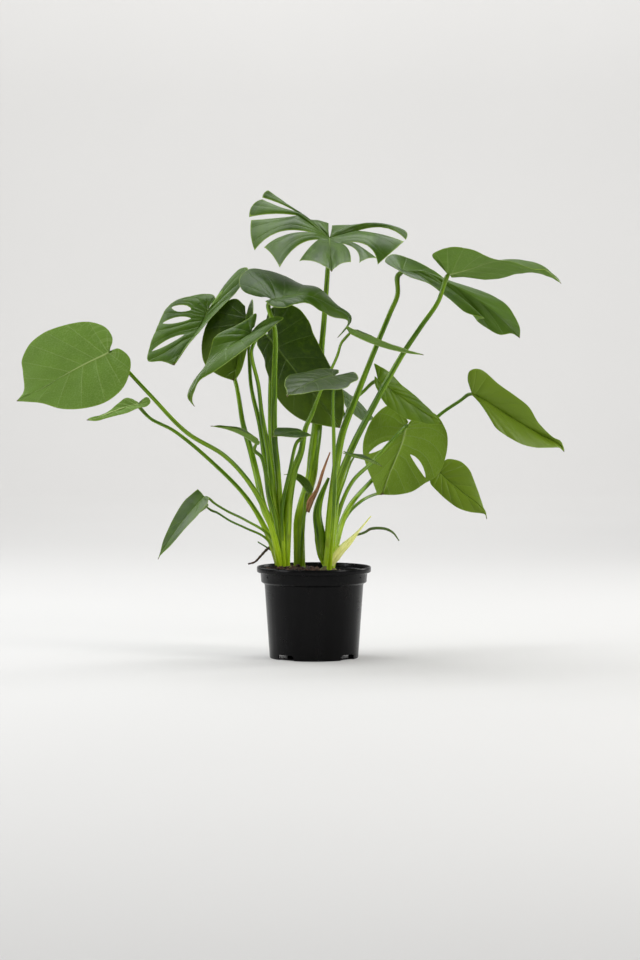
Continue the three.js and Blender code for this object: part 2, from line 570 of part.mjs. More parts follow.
// A point of a lobe that is drawn by its two edges and its outer end, t from 0 to 1 across it
function fingerPoint(leaf, side, lobe, t, b) {
  const { low, high, margin } = lobe.drawn;
  const a = lerp(lobe.from, lobe.to, t);
  const ends = [
    [lobe.from, low, lobe.low?.[1] ?? NOTCH_SPLIT],
    [lobe.to, high, lobe.high?.[1] ?? NOTCH_SPLIT],
  ];
  const along = (place) => ends.map(([at, points, inner]) => lobeEdge(leaf, at, points, inner, place));
  const [edge, roots, corners] = [b, 0, 1].map(along);
  const point = edge[0].clone().lerp(edge[1], t);
  const rootBend = spinePoint(leaf, a).sub(roots[0].lerp(roots[1], t));
  const outward = vec(margin).sub(corners[0].lerp(corners[1], 0.5));
  const crown = 4 * t * (1 - t);
  return point.addScaledVector(rootBend, (1 - b) ** 2).addScaledVector(outward, 0.5 * crown * b * b)
    .addScaledVector(leaf.up, camberAt(leaf, side, a) * crown * Math.sin(Math.PI * b));
}

// Axes of the bent midrib at x: its point, and the directions along, to the left and up
function midrib(leaf, side, x) {
  const u = x / leaf.length;
  const rise = u >= 0 ? 4 * u * (1 - u) : 4 * u / (1 - 4 * u);
  const slope = u >= 0 ? 4 * (1 - 2 * u) : 4 / (1 - 4 * u) ** 2;
  const v = x < 0 ? x / Math.max(leaf.back[side], 1) : 0;
  const lift = leaf.arch * leaf.length * rise + leaf.backLift * v * v;
  const tilt = leaf.arch * slope + 2 * leaf.backLift * v / Math.max(leaf.back[side], 1);
  const point = leaf.attach.clone().addScaledVector(leaf.along, x).addScaledVector(leaf.up, lift);
  const along = leaf.along.clone().addScaledVector(leaf.up, tilt).normalize();
  const left = leaf.left.clone().addScaledVector(along, -leaf.left.dot(along)).normalize();
  return { point, left, up: along.clone().cross(left) };
}

// A flat point of one side, folded and curled about the bent midrib
function bentPoint(leaf, side, x, y) {
  const rib = midrib(leaf, side, x);
  const u = clamp01(x / leaf.length);
  const fold = THREE.MathUtils.degToRad(lerp(leaf.foldTip[side], leaf.fold[side], (1 - u) ** 2));
  const curl = THREE.MathUtils.degToRad(leaf.curl[side]) / leaf.half[side];
  let out = y * Math.cos(fold);
  let rise = y * Math.sin(fold);
  if (Math.abs(curl) > 1e-6) {
    out = (Math.sin(fold + curl * y) - Math.sin(fold)) / curl;
    rise = -(Math.cos(fold + curl * y) - Math.cos(fold)) / curl;
  }
  return rib.point.addScaledVector(rib.left, side === 0 ? out : -out).addScaledVector(rib.up, rise);
}

// A point of one lobe, t from 0 to 1 across it
function lobePoint(leaf, side, lobe, t, b) {
  if (lobe.drawn) {
    return fingerPoint(leaf, side, lobe, t, b);
  }
  const a = lerp(lobe.from, lobe.to, t);
  let shift = 0;
  if (lobe.low) {
    shift += (1 - t) * halfGap(lobe.low, b);
  }
  if (lobe.high) {
    shift -= t * halfGap(lobe.high, b);
  }
  if (leaf.rims) {
    const spread = drawnPoint(leaf, side, Math.min(a + STEP, 1), b)
      .distanceTo(drawnPoint(leaf, side, Math.max(a - STEP, 0), b)) / (2 * STEP);
    return drawnPoint(leaf, side, a + (shift ? shift / spread : 0), b);
  }
  const p = flatPoint(leaf, side, a, b);
  const across = acrossVein(leaf, side, a, b);
  return bentPoint(leaf, side, p[0] + across[0] * shift, Math.max(p[1] + across[1] * shift, 0));
}

// The lobes of one side: where each starts and ends, and the cuts beside it
function lobesOf(leaf, side) {
  const cuts = leaf.cuts[side];
  return [null, ...cuts].map((low, k) => {
    const high = cuts[k] ?? null;
    const from = low ? low[0] : 0;
    return { low, high, from, to: high ? high[0] : 1, drawn: leaf.lobes?.[side][k] };
  });
}

// Columns of a blade: even steps round the outline, with every cut of either side on a column
function columnsOf(leaf) {
  const fixed = [0, 1, ...leaf.cuts.flat().map((cut) => cut[0])];
  const step = 1 / leaf.columns;
  const even = [];
  for (let i = 1; i < leaf.columns; i += 1) {
    if (fixed.every((value) => Math.abs(value - i * step) > 0.45 * step)) {
      even.push(i * step);
    }
  }
  return [...new Set([...fixed, ...even])].sort((p, q) => p - q);
}

// Rows of a blade: even steps from the midrib to the edge, the last but one where its slots have closed
function rowsOf(leaf) {
  const rows = Array.from({ length: leaf.rows + 1 }, (_, j) => j / leaf.rows);
  const closed = leaf.cuts.flat().map((cut) => cut[2]).filter((end) => end < 1);
  if (closed.length > 0) {
    rows[leaf.rows - 1] = Math.max(...closed);
  }
  return rows;
}

// The middle surface of a blade, as points and outward triangles of the upper face
function middleSurface(leaf) {
  const columns = columnsOf(leaf);
  const rows = rowsOf(leaf);
  const points = [];
  const keys = new Map();
  const faces = [];
  const pointAt = (side, k, lobe, column, row) => {
    const a = columns[column];
    const b = rows[row];
    const cut = a === lobe.from ? lobe.low : a === lobe.to ? lobe.high : null;
    const joined = cut && (b <= cut[1] + 1e-9 || (cut[2] < 1 && b >= cut[2] - 1e-9));
    let key = `${side} ${column} ${row} ${cut && !joined ? k : ""}`;
    if (row === 0) {
      key = a <= NOTCH_SHARE ? "attach" : `midrib ${column}`;
    }
    if (a === 1) {
      key = "tip";
    }
    if (!keys.has(key)) {
      keys.set(key, points.length);
      points.push(lobePoint(leaf, side, lobe, (a - lobe.from) / (lobe.to - lobe.from), b));
    }
    return keys.get(key);
  };
  for (const side of [0, 1]) {
    lobesOf(leaf, side).forEach((lobe, k) => {
      for (let i = 0; i + 1 < columns.length; i += 1) {
        if (columns[i] < lobe.from - 1e-9 || columns[i + 1] > lobe.to + 1e-9) {
          continue;
        }
        for (let j = 0; j < leaf.rows; j += 1) {
          const [p, q, r, s] = [[i, j], [i + 1, j], [i + 1, j + 1], [i, j + 1]]
            .map(([column, row]) => pointAt(side, k, lobe, column, row));
          for (const tri of [[p, q, r], [p, r, s]]) {
            if (new Set(tri).size === 3) {
              faces.push(side === 0 ? tri : [tri[0], tri[2], tri[1]]);
            }
          }
        }
      }
    });
  }
  return { points, faces };
}

// Two alike faces, half the thickness to each side of a surface, and walls along its edges
function thicken({ points, faces }, thickness) {
  const normals = points.map(() => new THREE.Vector3());
  const edges = new Map();
  for (const [a, b, c] of faces) {
    const normal = points[b].clone().sub(points[a]).cross(points[c].clone().sub(points[a]));
    for (const i of [a, b, c]) {
      normals[i].add(normal);
    }
    for (const [p, q] of [[a, b], [b, c], [c, a]]) {
      edges.set(`${p} ${q}`, [p, q]);
    }
  }
  const n = points.length;
  const position = [];
  for (const sign of [0.5, -0.5]) {
    points.forEach((point, i) => {
      position.push(...point.clone().addScaledVector(normals[i].normalize(), sign * thickness));
    });
  }
  const index = [];
  for (const [a, b, c] of faces) {
    index.push(a, b, c, a + n, c + n, b + n);
  }
  for (const [p, q] of edges.values()) {
    if (!edges.has(`${q} ${p}`)) {
      index.push(q, p, p + n, q, p + n, q + n);
    }
  }
  return indexed(position, index);
}

function indexed(position, index) {
  const geometry = new THREE.BufferGeometry();
  geometry.setAttribute("position", new THREE.Float32BufferAttribute(position, 3));
  geometry.setIndex(index);
  return geometry;
}

// A tapering round rod along a curve, with extra added to its radius
// end squares its last face to a direction, and neck narrows that face.
function rod(path, radius, { sides = STALK_SIDES, spacing = 30, extra = 0, end = null, neck = 1 } = {}) {
  const points = path.map((p) => (Array.isArray(p) ? vec(p) : p));
  const curve = new THREE.CatmullRomCurve3(points, false, "centripetal");
  const steps = Math.max(3, Math.round(curve.getLength() / spacing));
  const frames = curve.computeFrenetFrames(steps, false);
  const position = [];
  const index = [];
  for (let i = 0; i <= steps; i += 1) {
    const t = i / steps;
    const centre = curve.getPointAt(t);
    const k = Math.min(STALK_STOPS.filter((stop) => stop <= t).length, STALK_STOPS.length - 1) - 1;
    const reach = (t - STALK_STOPS[k]) / (STALK_STOPS[k + 1] - STALK_STOPS[k]);
    let size = lerp(radius[k], radius[k + 1], reach);
    size = (i === steps ? size * neck : size) + extra;
    for (let j = 0; j < sides; j += 1) {
      const turn = (2 * Math.PI * j) / sides;
      const ray = frames.normals[i].clone().multiplyScalar(Math.cos(turn))
        .addScaledVector(frames.binormals[i], Math.sin(turn));
      if (end && i === steps) {
        ray.addScaledVector(end, -ray.dot(end)).normalize();
      }
      position.push(...centre.clone().addScaledVector(ray, size));
      const next = (j + 1) % sides;
      if (i < steps) {
        const p = i * sides + j;
        const q = i * sides + next;
        index.push(p, q, q + sides, p, q + sides, p + sides);
      }
    }
  }
  const last = steps * sides;
  for (let j = 1; j + 1 < sides; j += 1) {
    index.push(0, j + 1, j, last, last + j, last + j + 1);
  }
  return indexed(position, index);
}

// Turns a geometry into a solid that can be joined and cut, and back
function solid(geometry) {
  const plain = geometry.clone();
  plain.deleteAttribute("normal");
  plain.deleteAttribute("uv");
  const merged = mergeVertices(plain, 1e-4);
  return new wasm.Manifold(new wasm.Mesh({
    numProp: 3,
    vertProperties: Float32Array.from(merged.attributes.position.array),
    triVerts: Uint32Array.from(merged.index.array),
  }));
}

function shape(manifold) {
  const mesh = manifold.getMesh();
  return indexed(Array.from(mesh.vertProperties), Array.from(mesh.triVerts));
}

function lathe(profile, segments) {
  const geometry = new THREE.LatheGeometry(profile.map(([r, z]) => new THREE.Vector2(r, z)), segments);
  return geometry.rotateX(Math.PI / 2);
}

// The pot: one wall with a rolled lip, a stepped collar, four drainage arches and small holes in the collar
function potShape() {
  let pot = solid(lathe([
    [0, 0],
    [BASE_RADIUS, 0],
    [BODY_TOP_RADIUS, STEP_BOTTOM],
    [COLLAR_RADIUS - COLLAR_TAPER, STEP_TOP],
    [COLLAR_RADIUS, LIP_BOTTOM],
    [RIM_RADIUS - LIP_THICKNESS, LIP_BOTTOM],
    [RIM_RADIUS, LIP_BOTTOM + LIP_EDGE],
    [RIM_RADIUS, POT_HEIGHT - LIP_EDGE],
    [RIM_RADIUS - LIP_EDGE, POT_HEIGHT],
    [RIM_RADIUS - LIP_EDGE - 1, POT_HEIGHT],
    [RIM_RADIUS - LIP_THICKNESS, LIP_BOTTOM + WALL],
    [COLLAR_RADIUS - WALL, LIP_BOTTOM + WALL],
    [COLLAR_RADIUS - COLLAR_TAPER - WALL, STEP_TOP + 1],
    [BODY_TOP_RADIUS - WALL, STEP_BOTTOM + 1],
    [BASE_RADIUS - WALL, FLOOR],
    [0, FLOOR],
  ], POT_SEGMENTS));
  for (const angle of ARCH_ANGLES) {
    const half = ARCH_WIDTH / 2;
    const arch = new THREE.Shape();
    arch.moveTo(-half, -1);
    arch.lineTo(half, -1);
    arch.lineTo(half, ARCH_HEIGHT * ARCH_SHOULDER);
    arch.lineTo(half - ARCH_CORNER, ARCH_HEIGHT);
    arch.lineTo(ARCH_CORNER - half, ARCH_HEIGHT);
    arch.lineTo(-half, ARCH_HEIGHT * ARCH_SHOULDER);
    arch.closePath();
    const cutter = new THREE.ExtrudeGeometry(arch, { depth: CUTTER_DEPTH, bevelEnabled: false });
    cutter.rotateX(Math.PI / 2).translate(0, BASE_RADIUS + CUTTER_DEPTH / 2, 0);
    cutter.rotateZ(THREE.MathUtils.degToRad(angle - 90));
    pot = pot.subtract(solid(cutter));
  }
  for (const angle of COLLAR_HOLE_ANGLES) {
    const cutter = new THREE.CylinderGeometry(COLLAR_HOLE_RADIUS, COLLAR_HOLE_RADIUS, CUTTER_DEPTH / 2, 8);
    cutter.translate(0, COLLAR_RADIUS, COLLAR_HOLE_HEIGHT);
    cutter.rotateZ(THREE.MathUtils.degToRad(angle - 90));
    pot = pot.subtract(solid(cutter));
  }
  return pot;
}

// Height of the soil: mounded on the left, lower on the right, with soft lumps
function soilHeight(x, y) {
  const left = THREE.MathUtils.smoothstep(-x, -50, 40);
  const edge = Math.hypot(x, y) / COLLAR_RADIUS;
  const lumps = Math.sin(x * 0.13 + 1) * Math.cos(y * 0.16) + 0.7 * Math.sin(x * 0.29 - y * 0.22);
  return SOIL_LEVEL - 3 + SOIL_MOUND * left * (1.2 - edge ** 2 * 0.6) + 1.1 * lumps;
}

// The soil: a lumpy top above a body that fills the pot
function soilShape() {
  const position = [0, 0, soilHeight(0, 0)];
  const collar = COLLAR_RADIUS - COLLAR_TAPER - WALL - CLEARANCE;
  const topRadius = (z) => collar + (z - STEP_TOP - 1) * COLLAR_SLOPE;
  const rings = SOIL_RINGS.map((fraction) => (turn) => {
    const x = Math.cos(turn);
    const y = Math.sin(turn);
    let radius = fraction * topRadius(SOIL_LEVEL);
    const z = soilHeight(x * radius, y * radius);
    if (fraction === 1) {
      radius = topRadius(z);
    }
    return [x * radius, y * radius, z];
  });
  const lower = [
    [collar, STEP_TOP + 1.4],
    [BODY_TOP_RADIUS - WALL - CLEARANCE, STEP_BOTTOM + 1.4],
    [BASE_RADIUS - WALL - CLEARANCE, FLOOR + CLEARANCE],
  ].map(([radius, z]) => (turn) => [Math.cos(turn) * radius, Math.sin(turn) * radius, z]);
  const all = [...rings, ...lower];
  const n = SOIL_SEGMENTS;
  for (const ring of all) {
    for (let i = 0; i < n; i += 1) {
      position.push(...ring((2 * Math.PI * i) / n));
    }
  }
  const foot = position.length / 3;
  position.push(0, 0, FLOOR + CLEARANCE);
  const index = [];
  for (let i = 0; i < n; i += 1) {
    const next = (i + 1) % n;
    index.push(0, 1 + i, 1 + next);
    for (let k = 0; k + 1 < all.length; k += 1) {
      const p = 1 + k * n + i;
      const q = 1 + k * n + next;
      index.push(p, p + n, q + n, p, q + n, q);
    }
    const base = 1 + (all.length - 1) * n;
    index.push(foot, base + next, base + i);
  }
  return solid(indexed(position, index));
}

// A leaf stalk from its crown to just under the blade
function stalkShape(leaf, extra) {
  const rib = midrib(leaf, 0, 0.001);
  const crown = CROWNS[leaf.crown];
  const width = leaf.radius[3];
  const droop = THREE.MathUtils.degToRad(leaf.droop);
  const gap = BLADE / 2 + STALK_GAP + width * Math.tan(droop);
  const end = leaf.attach.clone().addScaledVector(rib.up, -gap);
  const before = end.clone().addScaledVector(rib.up, -9).addScaledVector(leaf.along, -3);
  const path = [vec([crown.at[0], crown.at[1], STALK_START]), ...leaf.stalk.map(vec), before, end];
  return solid(rod(path, leaf.radius, { extra, end: rib.up, neck: 0.8 }));
}

// A crown: the short thick base that its stalks grow from, with the stalks fused to it
function crownShape(name, leaves, extra) {
  const crown = CROWNS[name];
  const base = lathe([
    [0, CROWN_BOTTOM - extra],
    [crown.radius * 0.7 + extra, CROWN_BOTTOM - extra],
    [crown.radius + extra, STALK_START],
    [crown.radius * 0.8 + extra, crown.top - 4],
    [crown.radius * 0.4 + extra, crown.top + extra],
    [0, crown.top + extra],
  ], 12).translate(crown.at[0], crown.at[1], 0);
  let whole = solid(base);
  for (const leaf of leaves.filter((each) => each.crown === name)) {
    whole = whole.add(stalkShape(leaf, extra));
  }
  for (const piece of EXTRAS[name]) {
    whole = whole.add(solid(rod(piece.path, piece.radius, { extra })));
  }
  return whole;
}

const plant = new THREE.Group();

function addPiece(name, geometry, color, roughness = 0.6) {
  const material = new THREE.MeshStandardMaterial({ color, roughness, metalness: 0 });
  const mesh = new THREE.Mesh(geometry, material);
  mesh.name = name;
  plant.add(mesh);
}

const leaves = LEAVES.map(prepare);
addPiece("pot", shape(potShape()), POT_BLACK, 0.45);
let soil = soilShape();
let stalks = null;
for (const name of Object.keys(CROWNS)) {
  addPiece(`stems_${name}`, shape(crownShape(name, leaves, 0)), STALK_GREEN, 0.5);
  const room = crownShape(name, leaves, CLEARANCE);
  soil = soil.subtract(room);
  stalks = stalks ? stalks.add(room) : room;
}
addPiece("soil", shape(soil), SOIL_BROWN, 0.95);
for (const leaf of leaves) {
  addPiece(leaf.name, thicken(middleSurface(leaf), BLADE), BLADE_COLOURS[leaf.name] ?? LEAF_GREEN, 0.4);
}

// Each loose piece is cut back to a small gap from the stalks that it lies against
const loose = [
  ["aerial_root", AERIAL_ROOT, ROOT_BROWN],
  ["yellow_sheath", YELLOW_SHEATH, SHEATH_YELLOW],
  ["dry_strip", DRY_STRIP, DRY_BROWN],
  ["brown_sheath", BROWN_SHEATH, DRY_BROWN],
];
for (const [name, piece, color] of loose) {
  const body = solid(rod(piece.path, piece.radius, { spacing: 10 }));
  addPiece(name, shape(body.subtract(stalks)), color, 0.8);
  stalks = stalks.add(solid(rod(piece.path, piece.radius, { spacing: 10, extra: CLEARANCE })));
}

export default plant;
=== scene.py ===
import math

import bpy
import numpy as np
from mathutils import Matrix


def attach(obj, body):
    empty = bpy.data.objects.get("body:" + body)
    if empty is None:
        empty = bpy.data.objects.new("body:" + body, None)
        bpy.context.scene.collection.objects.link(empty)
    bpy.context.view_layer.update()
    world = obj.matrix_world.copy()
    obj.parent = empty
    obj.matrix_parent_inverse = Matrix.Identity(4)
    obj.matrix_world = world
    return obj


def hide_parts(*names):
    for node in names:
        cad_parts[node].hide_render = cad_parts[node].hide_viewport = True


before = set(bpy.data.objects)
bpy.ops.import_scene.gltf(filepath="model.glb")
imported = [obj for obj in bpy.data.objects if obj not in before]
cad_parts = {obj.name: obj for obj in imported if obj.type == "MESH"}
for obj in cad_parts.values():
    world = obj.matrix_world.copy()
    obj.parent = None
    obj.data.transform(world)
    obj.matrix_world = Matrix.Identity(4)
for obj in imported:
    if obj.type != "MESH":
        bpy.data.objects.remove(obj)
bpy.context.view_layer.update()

# The plant and its pot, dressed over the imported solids. Sizes are in millimetres until a mesh is made.
MM = 0.001
rng = np.random.default_rng(7)

# Pot
POT_HEIGHT = 136
RIM_RADIUS = 85
LIP_BOTTOM = 127
COLLAR_RADIUS = 79.7
COLLAR_TAPER = 1.2
STEP_TOP = 113
STEP_BOTTOM = 110
BODY_TOP_RADIUS = 74
BASE_RADIUS = 65.5
WALL = 1.3
FLOOR = 2
POT_SIDES = 144
ARCH_HEIGHT = 8
ARCH_WIDTH = 30
ARCH_DEPTH = 20
ARCH_CORNER = 4
ARCH_RADIUS = 69
ARCH_ANGLES = (-130, -40, 50, 140)
COLLAR_HOLE_RADIUS = 1.25
COLLAR_HOLE_HEIGHT = 122
COLLAR_HOLE_DEPTH = 12
COLLAR_HOLE_ANGLES = (-150, -30, 30, 150)

# Soil
SOIL_LEVEL = 126
SOIL_MOUND = 9
SOIL_RADIUS = COLLAR_RADIUS - COLLAR_TAPER - WALL - 0.05
SOIL_FOOT = STEP_TOP + 1.6
SOIL_RINGS = 44
SOIL_SIDES = 132
CRUMBS = 620
CRUMB_SIZES = (1.0, 1.5, 2.3, 3.4)
CRUMB_SHARES = (0.4, 0.32, 0.2, 0.08)
HEAPED = 420
HEAP_ANGLES = (196, 300)
HEAP_REACH = (48, 74)
HEAP_RISE = 5

# Leaves and stalks
BLADE_THICKNESS = 0.8
EDGE_THICKNESS = 0.45
STALK_START = 112
STALK_STOPS = (0, 0.15, 0.4, 0.7, 1)
STALK_RADIUS = (6, 4.5, 3.2, 2.8, 2.4)

# Share of the outline that lies in the notch at the stalk
NOTCH_END = 0.28

# Share of the way out where the first edge of a drawn lobe starts to curve
NOTCH_SPLIT = 0.3

# Step along the outline that slopes are read over
STEP = 0.004

# Places from the midrib to the margin
BLADE_ROWS = (0.0, 0.022, 0.05, 0.1, 0.17, 0.25, 0.34, 0.44, 0.54, 0.64, 0.74, 0.83, 0.9, 0.955, 1.0)
SMALL_ROWS = (0.0, 0.04, 0.12, 0.24, 0.38, 0.54, 0.7, 0.85, 0.95, 1.0)

# For blades over each width: columns, side veins, swell between them, and wave of the margin
BLADE_SIZES = ((150, 84, 9, 1.4, 1.3), (90, 64, 9, 1.4, 1.3), (50, 40, 7, 0.9, 0.6), (0, 40, 5, 0.5, 0.6))
SMALL_BLADE = 62

# Where each clump grows, and how stout and high its crown is
CROWNS = {
    "left": dict(at=(-44, -3), radius=16, top=142),
    "middle": dict(at=(-21, 26), radius=10, top=139),
    "right": dict(at=(21, 0), radius=16, top=139),
}
CROWN_BOTTOM = 96

# Outline of half a blade, from the notch at the stalk round to the tip.
# x is a share of the blade's length ahead of the stalk and of the back lobe behind it; y of the half width.
OUTLINES = dict(
    heart=[[-0.6, 0.07], [-1, 0.34], [-0.62, 0.64], [0.06, 0.88], [0.28, 1], [0.52, 0.9], [0.74, 0.58],
        [0.88, 0.22], [1, 0]],
    blunt=[[-0.6, 0.07], [-1, 0.34], [-0.62, 0.64], [0.06, 0.9], [0.3, 1], [0.58, 0.98], [0.82, 0.8],
        [0.95, 0.42], [1, 0]],
    narrow=[[-0.6, 0.1], [-1, 0.38], [-0.6, 0.68], [0.06, 0.92], [0.24, 1], [0.48, 0.84], [0.72, 0.5],
        [0.88, 0.18], [1, 0]],
    late=[[-0.6, 0.06], [-1, 0.18], [-0.5, 0.32], [0.06, 0.48], [0.22, 0.72], [0.48, 1], [0.72, 0.84],
        [0.9, 0.36], [1, 0]],
    early=[[-0.6, 0.15], [-1, 0.45], [-0.7, 0.82], [0.02, 1], [0.24, 0.88], [0.5, 0.74], [0.76, 0.6],
        [0.92, 0.28], [1, 0]],
)

